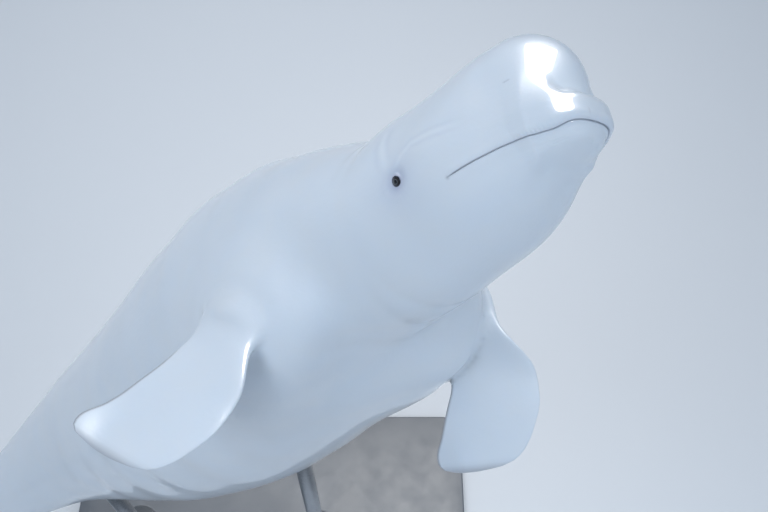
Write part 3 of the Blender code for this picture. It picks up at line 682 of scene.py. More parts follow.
    # Folds and marks count within this many of their widths
    fold_near: float = 2.6
    mark_near: float = 4.0
    marks: tuple[SkinMark, ...] = (
        SkinMark(((0.009, -0.027, 0.002), (0.006, -0.025, -0.011)), 0.0022, -0.0005, pink=0.9,
                 dark=0.35),
        SkinMark(((-0.110, -0.119, 0.099), (-0.098, -0.115, 0.101)), 0.0014, -0.0003, dark=0.30),
        SkinMark(((-0.151, -0.132, 0.037), (-0.147, -0.131, 0.040)), 0.0018, -0.0002, dark=0.12),
    )

    # Painted shade in the mouth's slit: share at the tip, gain over these distances behind the snout,
    # half width
    line_slit_shade: Point = (0.34, 0.28, 0.0015)
    line_gain: Span = (0.10, 0.24)
    # Painted shade in the mouth's corner: share, half width, and how far ahead of the line's end
    corner_shade: Point = (0.30, 0.0040, 0.004)
    # Painted bluish shade beside the line, then painted shade in the blowhole's slit and the blowhole's
    # pink: share and half width
    beside_line_shade: Span = (0.22, 0.006)
    blow_slit_shade: Span = (0.95, 0.0030)
    blow_pink: Span = (0.25, 0.010)
    # Dark edge of the lids: share, and the oval radii over which it ends
    lid_dark: tuple[float, Span] = (0.95, (1.04, 1.22))
    # Pink round them: share, oval radius and half width
    lid_pink: Point = (0.16, 1.30, 0.12)
    # Painted bluish shade round the eye, one over the other: share and half width
    eye_lilac: tuple[Span, ...] = ((0.70, 0.026), (0.30, 0.065))
    # Folds: share of the painted highlight on the crest and of the painted bluish shade in the furrow,
    # where each sets in and ends
    fold_light_shade: Span = (0.55, 0.16)
    fold_tint_ends: tuple[Span, Span] = ((0.0, 0.15), (0.7, 1.0))
    # Points farther than this from the middle plane are on a side of the head
    side_from: float = 0.08

    def mouth(self, p: Array) -> tuple[Array, Array, Array]:
        """Where points lie, as seen from the mouth line.

        Args:
            p: Points on the smooth body.

        Returns:
            Height over the line along the skin, share by which the mouth is open there, and
            distance behind the snout.
        """
        s = -p[..., 0]
        lean = np.sqrt(np.clip(1 - self.form.normal(p)[..., 2] ** 2, 0.1, 1.0))
        off = (p[..., 2] - self.form.mouth_height(s)) / lean
        corner = self.form.mouth_line[-1][0]
        first, last = self.corner_fade
        return off, 1 - smooth_step(s, corner + first, corner + last), s

    def lid_place(self, eye: EyeSeat, p: Array) -> tuple[Array, Array, Array]:
        """Where points lie, as seen from an eye.

        The oval radius is 1 on the lids' edge. It is a point's angle off the eye's look over
        the lids' half angle there.

        Args:
            eye: The eye.
            p: Points on the smooth body.

        Returns:
            Oval radius, angle round the look, and distance from the eye.
        """
        aim, _ = eye.over_ball(p, eye.radius)
        angle = np.arccos(np.clip(aim[..., 2], -1.0, 1.0))
        turn = np.arctan2(aim[..., 1], aim[..., 0]) + self.lid_tilt
        u = angle * np.cos(turn) / self.lid_open[0]
        v = angle * np.sin(turn) / self.lid_open[1]
        drawn, half, run = self.lid_corners
        pointed = 1 - drawn * bell(v, half) * smooth_step(np.abs(u), *run)
        far = np.linalg.norm(p - eye.place, axis=-1)
        limit, more = self.eye_field
        away = more * ((p[..., 1] * eye.side.value < 0) | (far > limit))
        return np.hypot(u, v) * pointed + away, turn, far

    def blow(self, p: Array) -> tuple[Array, Array, Array]:
        """Where points lie, as seen from the blowhole's arc.

        Args:
            p: Points on the smooth body.

        Returns:
            Distance off the arc, share of the arc that is there, and distance from its plug.
        """
        s, y = self.blow_at
        x = p[..., 0] + s - self.blow_radius
        side = p[..., 1] - y
        angle = np.arctan2(side, -x)
        first, last = self.blow_ends
        there = 1 - smooth_step(np.abs(angle), self.blow_spread * first, self.blow_spread * last)
        there = there * (p[..., 2] > self.back_from)
        round_arc = np.hypot(x, side) - self.blow_radius
        return round_arc, there, np.hypot(p[..., 0] + s - self.blow_plug[2], side)

    def need(self, p: Array) -> Array:
        """Edge length that the small forms near a point call for.

        Args:
            p: Points on the smooth body.

        Returns:
            For each point, the longest edge in metres that still shows its forms.
        """
        off, _, s = self.mouth(p)
        at_mouth = s < self.form.mouth_line[-1][0] + self.mouth_past
        wanted = [(at_mouth & (np.abs(off) < limit), edge) for limit, edge in self.mouth_edges]
        inner, outer, finest = self.lid_edge
        for eye in self.eyes:
            radius, _, far = self.lid_place(eye, p)
            wanted += [(far < limit, edge) for limit, edge in self.eye_edges]
            wanted.append(((radius > inner) & (radius < outer), finest))
        arc, there, _ = self.blow(p)
        at_blow = there > 0.02
        wanted += [(at_blow & (np.abs(arc) < limit), edge) for limit, edge in self.blow_edges]
        last, (low, high) = self.crease_area
        crease = (s < last) & (p[..., 2] > low) & (p[..., 2] < high)
        wanted.append((crease, self.crease_edge))
        flat = np.stack((s, p[..., 2]), axis=-1)
        for path, width, _ in self.folds:
            near = distance_to_path(flat, path)[0] < self.fold_near * width
            wanted.append((near, self.crease_edge))
        for mark in self.marks:
            near = distance_to_path(p, mark.path)[0] < self.mark_near * mark.width
            wanted.append((near, self.mark_edge))
        size = np.full(p.shape[:-1], self.plain_edge)
        for place, edge in wanted:
            size[place] = np.minimum(size[place], edge)
        return size

    def height(self, p: Array) -> Array:
        """How far the skin stands out of the smooth body, all small forms added up.

        Args:
            p: Points on the smooth body.

        Returns:
            One height a point, in metres.
        """
        total = self.mouth_relief(p) + self.ridge_relief(p) + self.blow_relief(p)
        total = total + self.fold_relief(p) + self.body_swell(p)
        calm = np.ones_like(total)
        lids = np.zeros_like(total)
        for eye in self.eyes:
            relief, share = self.lid_relief(eye, p)
            lids = lids + relief
            calm = calm * (1 - share)
        return total * calm + lids

    def mouth_relief(self, p: Array) -> Array:
        """Full lips over and under a narrow slit, with fine creases across the upper lip.

        Lips and slit are bell curves of the distance from the mouth line, and creases and
        chin waves are sines under bell curves.

        Args:
            p: Points on the smooth body.

        Returns:
            Their heights.
        """
        off, open_share, s = self.mouth(p)
        lips = np.zeros_like(off)
        back = smooth_step(s, *self.lip_change)
        for sign, (middle, half, tip, rear) in ((1, self.upper_lip), (-1, self.lower_lip)):
            lips = lips + (tip + (rear - tip) * back) * bell(sign * off - middle, half)
        slit = self.lip_depth * bell(off, self.lip_gap)
        spacing, rise, middle, half = self.lip_creases
        wrinkles = np.sin(s * 2 * np.pi / spacing + 1.4 * np.sin(s * 70)) * rise
        over, wide = self.crease_row
        wrinkles = wrinkles * bell(off - over, wide) * bell(s - middle, half)
        spacing, rise, under = self.chin_waves
        wide, middle, half = self.chin_row
        chin = np.sin(off * 2 * np.pi / spacing) * rise * bell(off + under, wide)
        return (lips - slit + wrinkles) * open_share + chin * bell(s - middle, half)

    def ridge_relief(self, p: Array) -> Array:
        """Low ridge along the back with small notches, where other whales have a fin.

        It is a bell curve across the back, times 1 plus a few sines along it.

        Args:
            p: Points on the smooth body.

        Returns:
            Its height.
        """
        s = -p[..., 0]
        start, end = self.ridge_span
        along = plateau(s, (start, start + self.ridge_fade), (end - self.ridge_fade, end))
        height, half = self.ridge
        knobs = 1 + sum(share * np.sin(s * 2 * np.pi / spacing) for spacing, share in self.ridge_knobs)
        return height * along * knobs * bell(p[..., 1], half) * (p[..., 2] > 0)

    def blow_relief(self, p: Array) -> Array:
        """A crescent slit with raised lips and a low plug ahead of it, all bell curves.

        Args:
            p: Points on the smooth body.

        Returns:
            Their heights.
        """
        arc, there, inner = self.blow(p)
        slit = self.blow_depth * bell(arc, self.blow_slit)
        rise, place, half = self.blow_lips
        lips = rise * bell(np.abs(arc) - place, half)
        plug = self.blow_plug[0] * bell(inner, self.blow_plug[1]) * (p[..., 2] > self.back_from)
        return (lips - slit) * there + plug

    def lid_relief(self, eye: EyeSeat, p: Array) -> tuple[Array, Array]:
        """Lids that lie on the eyeball, drop behind it at their edge, and have rings of folds.

        Args:
            eye: The eye that the lids belong to.
            p: Points on the smooth body.

        Returns:
            The height, and the share by which other forms give way near the eye.
        """
        radius, turn, far = self.lid_place(eye, p)
        edge, welt = self.lid_thick
        thick = edge + (welt - edge) * smooth_step(radius, *self.lid_welt)
        _, height = eye.over_ball(p, eye.radius)
        share = 1 - smooth_step(far, *self.lid_reach)
        lids = np.maximum(height + thick, -self.lid_sink) * share
        pocket = self.lid_pocket * (1 - smooth_step(radius, *self.lid_drop))
        rings = np.zeros_like(radius)
        for place, width, depth in self.lid_rings:
            wave = place + 0.10 * np.sin(2 * turn + place) + 0.05 * np.sin(5 * turn + 2 * place)
            rings = rings - depth * bell(radius - wave, width) * (0.55 + 0.45 * np.cos(turn - 2.2))
        rays = self.lid_ray * np.sin(turn * 26 + 3 * np.sin(radius * 2)) * bell(radius - 1.5, 0.3)
        near = radius < self.eye_field[1] / 2
        return np.where(near, lids - pocket + rings + rays, 0.0), share * near

    def fold_relief(self, p: Array) -> Array:
        """Soft folds of the head as a raised line beside a shallow furrow, and the marks.

        Args:
            p: Points on the smooth body.

        Returns:
            Their heights.
        """
        flat = np.stack((-p[..., 0], p[..., 2]), axis=-1)
        beside = smooth_step(np.abs(p[..., 1]), *self.fold_side)
        total = np.zeros(p.shape[:-1])
        for path, width, rise in self.folds:
            gap, share = distance_to_path(flat, path)
            ends = plateau(share, *self.fold_ends) * beside
            beyond = gap - self.furrow[0] * width
            total = total + rise * (bell(gap, width) - self.furrow[1] * bell(beyond, width)) * ends
        for mark in self.marks:
            gap, _ = distance_to_path(p, mark.path)
            total = total + mark.rise * bell(gap, mark.width)
        return total

    def body_swell(self, p: Array) -> Array:
        """Creases of the bent neck and throat, rolls of blubber, and a slight unevenness.

        A crease is a bell curve of the distance from a line that bends with y. The rolls are a
        sine along the flank, and the unevenness is a sum of crossing sines.

        Args:
            p: Points on the smooth body.

        Returns:
            Their heights.
        """
        s, y, z = -p[..., 0], p[..., 1], p[..., 2]
        throat = smooth_step(-z, *self.throat_from)
        total = np.zeros_like(s)
        for place, width, depth in self.throat_creases:
            bent = place + 0.05 * np.sin(y * 5.0 + place * 30) - 0.10 * np.abs(y)
            total = total - depth * bell(s - bent, width) * throat
        nape = smooth_step(z, *self.nape_from)
        for place, width, depth in self.nape_creases:
            total = total - depth * bell(s - place - 0.10 * np.abs(y), width) * nape
        flank = smooth_step(-z, *self.roll_from) * plateau(s, *self.roll_spans)
        height, spacing = self.rolls
        rolls = np.sin(s * 2 * np.pi / spacing + 4.0 * np.abs(y) + 1.2 * np.sin(3 * s))
        middle, half = self.roll_row
        total = total + height * rolls * flank * bell(np.abs(y) - middle, half)
        uneven = np.sin(9 * s + 5 * y) * np.sin(11 * z - 4 * s) + np.sin(17 * s - 13 * y + 7 * z)
        return total + self.uneven * uneven * smooth_step(s, *self.uneven_from)

    def tints(self, p: Array) -> dict[str, Array]:
        """Shares of the skin's tints, painted shade and painted highlight among them.

        Args:
            p: Points on the smooth body.

        Returns:
            One share a point, from 0 to 1, by each name in TINTS.
        """
        off, open_share, s = self.mouth(p)
        # Painted shade along the mouth's slit
        start, gain, half = self.line_slit_shade
        dark = (start + gain * smooth_step(s, *self.line_gain)) * bell(off, half) * open_share
        corner = self.form.mouth_line[-1]
        # Painted shade in the mouth's corner, on the sides of the head
        most, half, ahead = self.corner_shade
        at_corner = np.hypot(s - corner[0] + ahead, p[..., 2] - corner[1])
        side = np.abs(p[..., 1]) > self.side_from
        dark = np.maximum(dark, most * bell(at_corner, half) * side)
        # Painted bluish shade beside the mouth's slit
        soft = self.beside_line_shade[0] * bell(off, self.beside_line_shade[1]) * open_share
        arc, there, _ = self.blow(p)
        # Painted shade in the blowhole's slit
        dark = np.maximum(dark, self.blow_slit_shade[0] * bell(arc, self.blow_slit_shade[1]) * there)
        pink = self.blow_pink[0] * bell(arc, self.blow_pink[1]) * there
        lilac, pale = np.zeros_like(dark), np.zeros_like(dark)
        for eye in self.eyes:
            radius, _, far = self.lid_place(eye, p)
            most, ends = self.lid_dark
            dark = np.maximum(dark, most * (1 - smooth_step(radius, *ends)))
            most, place, half = self.lid_pink
            pink = np.maximum(pink, most * bell(radius - place, half))
            # Painted bluish shade round the eye
            eye_shade_share = sum(share * bell(far, half) for share, half in self.eye_lilac)
            lilac = np.maximum(lilac, eye_shade_share)
        # Painted highlight on the folds' crests and painted shade in the furrows beside them
        flat = np.stack((s, p[..., 2]), axis=-1)
        crest_highlight, under = self.fold_light_shade
        for path, width, _ in self.folds:
            gap, share = distance_to_path(flat, path)
            ends = plateau(share, *self.fold_tint_ends) * side
            pale = np.maximum(pale, crest_highlight * bell(gap, width) * ends)
            lilac = np.maximum(lilac, under * bell(gap - self.furrow[0] * width, width) * ends)
        for mark in self.marks:
            gap, _ = distance_to_path(p, mark.path)
            near = bell(gap, mark.width)
            pink = np.maximum(pink, mark.pink * near)
            dark = np.maximum(dark, mark.dark * near)
        return {"dark": dark, "pink": pink, "pale": pale, "lilac": np.maximum(lilac, soft),
                "edge": np.zeros_like(dark)}


def mesh_from_grid(rows: Array, first: Array | None, last: Array | None,
                   name: str) -> bpy.types.Mesh:
    """Closed mesh over a grid that joins round its columns.

    Args:
        rows: Points as rows by columns by three.
        first: Pole before the first row, or None to close it with a fan at its middle.
        last: Pole after the last row, or None for its middle.
        name: Name of the mesh.

    Returns:
        The mesh, its faces pointing out.
    """
    count, around = rows.shape[:2]
    start = rows[0].mean(axis=0) if first is None else first
    end = rows[-1].mean(axis=0) if last is None else last
    points = np.concatenate((rows.reshape(-1, 3), start[None], end[None]))
    index = np.arange(count * around).reshape(count, around)
    nxt = np.roll(index, -1, axis=1)
    quads = np.stack((index[:-1], index[1:], nxt[1:], nxt[:-1]), axis=-1).reshape(-1, 4)
    first_fan = np.stack((index[0], nxt[0], np.full(around, count * around)), axis=-1)
    last_fan = np.stack((nxt[-1], index[-1], np.full(around, count * around + 1)), axis=-1)
    mesh = bpy.data.meshes.new(name)
    mesh.from_pydata(points.tolist(), [], quads.tolist() + first_fan.tolist() + last_fan.tolist())
    mesh.update()
    face_outwards(mesh)
    return mesh


@contextmanager
def edited(mesh: bpy.types.Mesh) -> Iterator[bmesh.types.BMesh]:
    """Open a mesh for editing and write it back at the end.

    Args:
        mesh: The mesh.

    Yields:
        The mesh in a form whose parts can be split and merged.
    """
    bm = bmesh.new()
    bm.from_mesh(mesh)
    yield bm
    bm.to_mesh(mesh)
    bm.free()


def face_outwards(mesh: bpy.types.Mesh) -> None:
    """Turn a closed mesh's faces so that they all point out."""
    with edited(mesh) as bm:
        bmesh.ops.recalc_face_normals(bm, faces=bm.faces)


def read_parts(parts: bpy.types.bpy_prop_collection, name: str, each: int = 1,
               kind: type = np.int32) -> Array:
    """One property of all points, edges, faces or corners of a mesh.

    Args:
        parts: The mesh's list of them.
        name: Name of the property.
        each: How many numbers each part has.
        kind: Type of the numbers.

    Returns:
        The numbers, in rows where each part has several.
    """
    values = np.empty(len(parts) * each, dtype=kind)
    parts.foreach_get(name, values)
    return values.reshape(-1, each) if each > 1 else values


def read_points(mesh: bpy.types.Mesh) -> Array:
    """The mesh's points as an array."""
    return read_parts(mesh.vertices, "co", 3, np.float32).astype(float)


def write_points(mesh: bpy.types.Mesh, points: Array) -> None:
    """Put an array of points back into a mesh."""
    mesh.vertices.foreach_set("co", points.astype(np.float32).ravel())
    mesh.update()


def write_share(mesh: bpy.types.Mesh, name: str, values: Array) -> None:
    """Store one number a point under a name that the materials read."""
    layer = mesh.attributes.new(name, "FLOAT", "POINT")
    layer.data.foreach_set("value", values.astype(np.float32).ravel())


def add_piece(name: str, mesh: bpy.types.Mesh, finish: Finish | None) -> bpy.types.Object:
    """Object at the origin around a mesh, in the scene, with its material.

    Args:
        name: Name of the object.
        mesh: Its mesh.
        finish: Its material, or None to leave the mesh without one.

    Returns:
        The object.
    """
    piece = bpy.data.objects.new(name, mesh)
    bpy.context.scene.collection.objects.link(piece)
    if finish is not None:
        mesh.materials.clear()
        mesh.materials.append(finish)
    return piece


@dataclass
class Surface:
    """A closed surface while it is made, with each point's place on the unposed body and tints."""

    piece: bpy.types.Object
    rest: Array
    tints: Array


def same_places(known: Array, wanted: Array) -> Array:
    """Index among the known points of each wanted one, or -1 where none has its place.

    Args:
        known: Points to look among.
        wanted: Points to look for.

    Returns:
        One index a wanted point.
    """
    both = np.concatenate((known, wanted)).astype(np.float32).round(6) + np.float32(0.0)
    ids = np.unique(both, axis=0, return_inverse=True)[1].ravel()
    index = np.full(ids.max() + 1, -1)
    index[ids[:len(known)]] = np.arange(len(known))
    return index[ids[len(known):]]


@dataclass
class Blade:
    """A flat limb: sections of given chord and thickness along a span, flared at its root."""

    # Points round each section, and radius of the flare
    around: int = 72
    flare: float = 0.034
    # Thickness of the hind edge as a share of the front's
    hind_share: float = 0.35

    def section(self, lead: Array, trail: Array, thick: Array) -> tuple[Array, Array, Array]:
        """Chord place, rise and angle round each section.

        The chord runs as a cosine between its edges. The rise is half the thickness times a
        sine, thinned towards the hind edge by h + (1 - h) ((1 + cosine) / 2)^0.7, where h is
        the hind edge's share.

        Args:
            lead: Front edge of each section, along the chord.
            trail: Its hind edge.
            thick: Its thickness.

        Returns:
            Chord place, rise and angle, in one row a section.
        """
        turn = np.linspace(0, 2 * np.pi, self.around, endpoint=False)[None, :]
        lead, trail, thick = (np.asarray(v)[:, None] for v in (lead, trail, thick))
        chord = (lead + trail) / 2 + (lead - trail) / 2 * np.cos(turn)
        full = self.hind_share + (1 - self.hind_share) * ((np.cos(turn) + 1) / 2) ** 0.7
        return chord, thick / 2 * np.sin(turn) * full, np.broadcast_to(turn, chord.shape)

    def flared(self, depth: Array) -> Array:
        """Extra reach near the body: R (1 - root of (1 - u^2)), with u = 1 - depth / R."""
        u = np.clip(1 - depth / self.flare, 0.0, 0.97)
        return self.flare * (1 - np.sqrt(1 - u * u))


@dataclass
class Flipper(Blade):
    """Broad paddle whose hind corner curls up, set on the chest."""

    form: WhaleForm = field(default_factory=WhaleForm)
    spine: PosedSpine = field(default_factory=PosedSpine)
    side: Side = Side.RIGHT
    # Root's distance behind the snout and angle below the side, then the directions of the
    # span and of the blade's and root's chords along the body's axes there
    root_at: float = 0.875
    below: float = math.radians(26)
    span: Point = (-0.16, 0.70, -0.69)
    chord: Point = (0.64, -0.45, -0.61)
    root_chord: Point = (0.83, -0.33, -0.47)
    length: float = 0.395
    # Share of the length, and the leading and trailing edges from the middle line
    outline: tuple[Point, ...] = (
        (-0.40, 0.045, -0.045),
        (-0.15, 0.086, -0.084),
        (0.00, 0.096, -0.094),
        (0.15, 0.124, -0.082),
        (0.35, 0.153, -0.088),
        (0.55, 0.158, -0.110),
        (0.75, 0.138, -0.132),
        (0.88, 0.112, -0.150),
        (0.96, 0.072, -0.138),
        (1.00, 0.000, -0.090),
    )
    # Thickness at root and end and the power by which it falls, width of the last row as a
    # share, height of the curled corner, and how far the end sweeps back
    thick: Span = (0.052, 0.016)
    taper: float = 1.3
    end_width: float = 0.35
    curl: float = 0.032
    sweep: float = 0.030
    # Shares of the length over which the chord turns from the root's to the blade's
    chord_turn: Span = (-0.05, 0.45)
    # Over these distances from the middle line, and shares of the length, the corner curls up
    curl_across: Span = (0.055, 0.16)
    curl_along: Span = (0.55, 1.0)
    # Shares of the length where the blade starts inside the body, and where its round end starts
    reach: Span = (-0.34, 0.975)
    rows: int = 46
    end_rows: int = 7

    def axes(self) -> tuple[Array, Array, Array, Array]:
        """Where the flipper starts, and how it is turned.

        Returns:
            Its root in the world, and the directions of its span, its blade's chord and its
            root's chord.
        """
        mirror = np.array((1.0, self.side.value, 1.0))
        outward = np.array((0.0, self.side.value * math.cos(self.below), -math.sin(self.below)))
        root = self.spine.carry(self.form.cast(np.array((-self.root_at, 0.0, 0.0)), outward))
        _, frame = self.spine.frame_at(self.root_at)
        span = unit(np.array(self.span) * mirror)
        chords = []
        for direction in (self.chord, self.root_chord):
            direction = np.array(direction) * mirror
            chords.append(frame @ unit(direction - span * (direction @ span)))
        return root, frame @ span, chords[0], chords[1]

    def points(self) -> tuple[Array, Array]:
        """Grid of the flipper's surface.

        A point is root + t L span + across chord + lift normal. The chord turns from the
        root's direction to the blade's, and the hind corner lifts as a smooth step.

        Returns:
            The points in the world, in one row a section, and their share of dark edge.
        """
        root, span, blade_chord, root_chord = self.axes()
        close = np.sin(np.linspace(0, np.pi / 2, self.end_rows + 1)[1:])
        first, last = self.reach
        t = np.concatenate((np.linspace(first, last, self.rows), last + (1 - last) * close))
        shrink = np.concatenate((np.ones(self.rows), np.sqrt(np.clip(1 - close**2, 0.0, 1.0))))
        table = np.array(self.outline)
        lead = even_curve(t, table[:, 0], table[:, 1])
        trail = even_curve(t, table[:, 0], table[:, 2])
        narrow = self.end_width + (1 - self.end_width) * shrink
        middle, half = (lead + trail) / 2, (lead - trail) / 2 * narrow
        root_thick, end_thick = self.thick
        thick = end_thick + (root_thick - end_thick) * (1 - np.clip(t, 0, 1)) ** self.taper
        across, rise, turn = self.section(middle + half, middle - half, thick * shrink)
        share = smooth_step(t, *self.chord_turn)[:, None]
        chord = unit(blade_chord * share + root_chord * (1 - share))
        normal = np.cross(np.broadcast_to(span, chord.shape), chord) * -self.side.value
        t_grid = np.broadcast_to(t[:, None], across.shape)
        hind = smooth_step(0.10 * (t_grid - 0.9) - across, *self.curl_across)
        lift = self.curl * hind * smooth_step(t_grid, *self.curl_along) + rise
        swept = across - self.sweep * t_grid**2

        def place(chord_place: Array, height: Array) -> Array:
            """World points for places on the chord and heights over it."""
            out = root + t_grid[..., None] * self.length * span
            return out + chord_place[..., None] * chord[:, None] + height[..., None] * normal[:, None]

        depth = self.form.field(self.spine.return_to_body(place(swept, lift), self.root_at))
        grown = self.flared(np.clip(depth, 0, None))
        points = place(swept + grown * np.cos(turn), lift + grown * np.sin(turn))
        hind_edge = smooth_step(-np.cos(turn), 0.93, 1.0) * smooth_step(t_grid, 0.15, 0.35)
        tip = smooth_step(t_grid, 0.93, 1.0)
        return points, np.maximum(hind_edge, 0.55 * tip)


@dataclass
class Flukes(Blade):
    """Both halves of the tail fin as one blade across the tail's end."""

    form: WhaleForm = field(default_factory=WhaleForm)
    spine: PosedSpine = field(default_factory=PosedSpine)
    half_span: float = 0.50
    # Front and hind edge at the middle, as distances behind the snout
    root: Span = (3.76, 4.17)
    sweep: float = 0.30
    bulge: float = 0.075
    thick: Span = (0.050, 0.010)
    droop: float = 0.05
    notch: float = 0.004
    rows: int = 81
    flare: float = 0.026

    def points(self) -> tuple[Array, Array]:
        """Grid of the flukes' surface.

        The front edge falls back as the 1.25th power of the span, the hind edge bulges as a
        half sine, and the blade droops with the square of the span.

        Returns:
            The points in the world, in one row a section, and their share of dark edge.
        """
        place = np.sin(np.linspace(-np.pi / 2, np.pi / 2, self.rows)) * 0.75
        place = place + 0.25 * np.linspace(-1, 1, self.rows)
        t = np.abs(place)
        front = -(self.root[0] + self.sweep * t**1.25 + 0.06 * t**4)
        hind = -(self.root[1] + self.bulge * np.sin(np.pi * t**0.8) + 0.03 * t)
        middle = (front + hind) / 2
        half = (front - hind) / 2 * np.sqrt(np.clip(1 - 0.985 * t**7, 0.0, 1.0))
        thick = self.thick[1] + (self.thick[0] - self.thick[1]) * (1 - t) ** 1.4
        thick = thick * np.sqrt(np.clip(1 - t**24, 0.06, 1.0))
        along, rise, turn = self.section(middle + half, middle - half, thick)
        t_grid = np.broadcast_to(t[:, None], along.shape)
        out = np.broadcast_to((place * self.half_span + np.sign(place) * self.notch * t)[:, None],
                              along.shape)
        lift = rise - self.droop * t_grid**2
        flat = np.stack((along, out, lift), axis=-1)
        grown = self.flared(np.clip(self.form.field(flat), 0, None))
        grown = grown * smooth_step(t_grid, 0.0, 0.10)
        moved = np.stack((along + grown * np.cos(turn), out, lift + grown * np.sin(turn)), axis=-1)
        edge = smooth_step(-np.cos(turn), 0.95, 1.0)
        return self.spine.carry(moved), np.maximum(edge, 0.6 * smooth_step(t_grid, 0.94, 1.0))


@dataclass
class WhaleSkin:
    """The whole outside of the whale as one closed surface."""

    form: WhaleForm
    spine: PosedSpine
    relief: SkinRelief
    columns: int = 144
    # Where the snout's rays start, behind the snout and over the spine, their rows, and the
    # power by which those open
    fan_at: float = 0.30
    fan_height: float = 0.020
    fan_rows: int = 36
    fan_power: float = 0.92
    # Behind the snout by this much, rays start in the middle of the body
    centred_at: float = 0.5
    tail_end: float = 4.08
    # Length and rows of the round end at the tail, and how far ahead of it the forms stop
    cap: float = 0.030
    cap_rows: int = 5
    cap_room: float = 0.005
    # Close rows end here and lie this far apart, then come the body's wider rows
    head_end: float = 0.62
    head_step: float = 0.0085
    body_rows: int = 149
    # How often the mesh is made finer
    levels: int = 3
    # An edge may be this much longer than the forms on it call for
    slack: float = 1.35

    def fan(self) -> tuple[Array, Array]:
        """Snout as rays from one point that open from the tip like an umbrella.

        Returns:
            Rows of points from the tip backwards, and the tip.
        """
        centre = np.array((-self.fan_at, 0.0, self.fan_height))
        turn = np.linspace(0, 2 * np.pi, self.columns, endpoint=False)
        tip = unit(np.array((0.0, 0.0, self.form.mouth_line[0][1])) - centre)
        share = (np.arange(1, self.fan_rows + 1) / self.fan_rows)[:, None]
        axis = unit(tip * (1 - share) + np.array((1.0, 0.0, 0.0)) * share)
        angle = (np.pi / 2 * share**self.fan_power)[..., None]
        back = np.stack((-axis[:, 2], 0 * axis[:, 2], axis[:, 0]), axis=-1)[:, None]
        left = np.array((0.0, 1.0, 0.0))
        around = np.cos(turn)[:, None] * back + np.sin(turn)[:, None] * left
        rays = np.cos(angle) * axis[:, None] + np.sin(angle) * around
        rows = self.form.cast(np.broadcast_to(centre, rays.shape), rays)
        return rows, self.form.cast(centre, tip)

    def lengths(self) -> Array:
        """Places of the body's sections, close on the head and wider behind.

        Returns:
            Their distances behind the snout.
        """
        head = np.arange(self.fan_at, self.head_end, self.head_step)[1:]
        body = np.linspace(head[-1], self.tail_end, self.body_rows + 1)[1:]
        return np.concatenate((head, body))

    def sections(self, s: Array) -> Array:
        """Rows of the body as rays across the spine.

        Args:
            s: Distance of each row behind the snout.

        Returns:
            The points of each row.
        """
        turn = np.linspace(0, 2 * np.pi, self.columns, endpoint=False)
        top, below, _ = self.form.section(s)
        share = smooth_step(s, self.fan_at, self.centred_at)
        middle = self.fan_height * (1 - share) + (top - below) / 2 * share
        origins = np.stack((-s, 0 * s, middle), axis=-1)[:, None]
        rays = np.stack((0 * turn, np.sin(turn), np.cos(turn)), axis=-1)[None]
        shape = (len(s), self.columns, 3)
        return self.form.cast(np.broadcast_to(origins, shape), np.broadcast_to(rays, shape))

    def smooth_body(self) -> bpy.types.Mesh:
        """Base grid from the snout's tip to a round end under the flukes.

        Returns:
            The closed mesh, in the body frame.
        """
        fan, tip = self.fan()
        rows = np.concatenate((fan, self.sections(self.lengths())))
        last = rows[-1]
        middle = last.mean(axis=0)
        angle = np.linspace(0, np.pi / 2, self.cap_rows + 2)[1:-1, None, None]
        ends = middle + (last - middle) * np.cos(angle)
        ends = ends - np.array((self.cap, 0.0, 0.0)) * np.sin(angle)
        rows = np.concatenate((rows, ends))
        return mesh_from_grid(rows, tip, middle - np.array((self.cap, 0.0, 0.0)), "whale_skin")

    def before_cap(self, points: Array) -> Array:
        """Whether each point lies ahead of the round end at the tail."""
        return points[:, 0] > -self.tail_end + self.cap_room

    def refine(self, mesh: bpy.types.Mesh) -> None:
        """Halve the edges of faces that are too coarse for the forms on them.

        Args:
            mesh: The smooth body.
        """
        one, other = read_points(mesh)[read_parts(mesh.edges, "vertices", 2)].swapaxes(0, 1)
        length = np.linalg.norm(one - other, axis=1)
        coarse = length > self.slack * self.relief.need((one + other) / 2)
        starts = read_parts(mesh.polygons, "loop_start")
        loops = read_parts(mesh.loops, "edge_index")
        face_coarse = np.logical_or.reduceat(coarse[loops], starts)
        counts = np.diff(np.append(starts, len(loops)))
        chosen = np.zeros(len(mesh.edges), dtype=bool)
        chosen[loops[np.repeat(face_coarse, counts)]] = True
        with edited(mesh) as bm:
            bm.edges.ensure_lookup_table()
            edges = [bm.edges[i] for i in np.flatnonzero(chosen)]
            bmesh.ops.subdivide_edges(bm, edges=edges, cuts=1, use_grid_fill=True)
            bmesh.ops.triangulate(bm, faces=[f for f in bm.faces if len(f.verts) > 4])

    def build(self, finish: Finish) -> bpy.types.Object:
        """Make the skin: grid, finer places, forms, pose, then flippers and flukes joined on.

        Args:
            finish: Its material.

        Returns:
            The finished piece.
        """
        mesh = self.smooth_body()
        for _ in range(self.levels):
            self.refine(mesh)
            points = read_points(mesh)
            inner = self.before_cap(points)
            points[inner] = self.form.settle(points[inner])
            write_points(mesh, points)
        rest = read_points(mesh)
        height = self.relief.height(rest)[:, None]
        raised = rest + self.form.normal(rest) * height * self.before_cap(rest)[:, None]
        write_points(mesh, self.spine.carry(raised))
        face_outwards(mesh)
        tints = self.relief.tints(rest)
        body = Surface(add_piece("whale_skin", mesh, None), rest,
                       np.stack([tints[name] for name in TINTS], axis=-1))
        seams = [self.join(body, limb, start) for limb, start in self.limbs()]
        self.calm_joins(body.piece.data, np.concatenate(seams))
        self.store(body)
        body.piece.data.materials.append(finish)
        body.piece.data.shade_smooth()
        return body.piece

    def store(self, surface: Surface) -> None:
        """Keep each point's place on the unposed body and its tints with the mesh.

        Args:
            surface: The whole skin.
        """
        mesh = surface.piece.data
        layer = mesh.attributes.new("rest_place", "FLOAT_VECTOR", "POINT")
        layer.data.foreach_set("vector", surface.rest.astype(np.float32).ravel())
        for i, name in enumerate(TINTS):
            write_share(mesh, name, surface.tints[:, i])

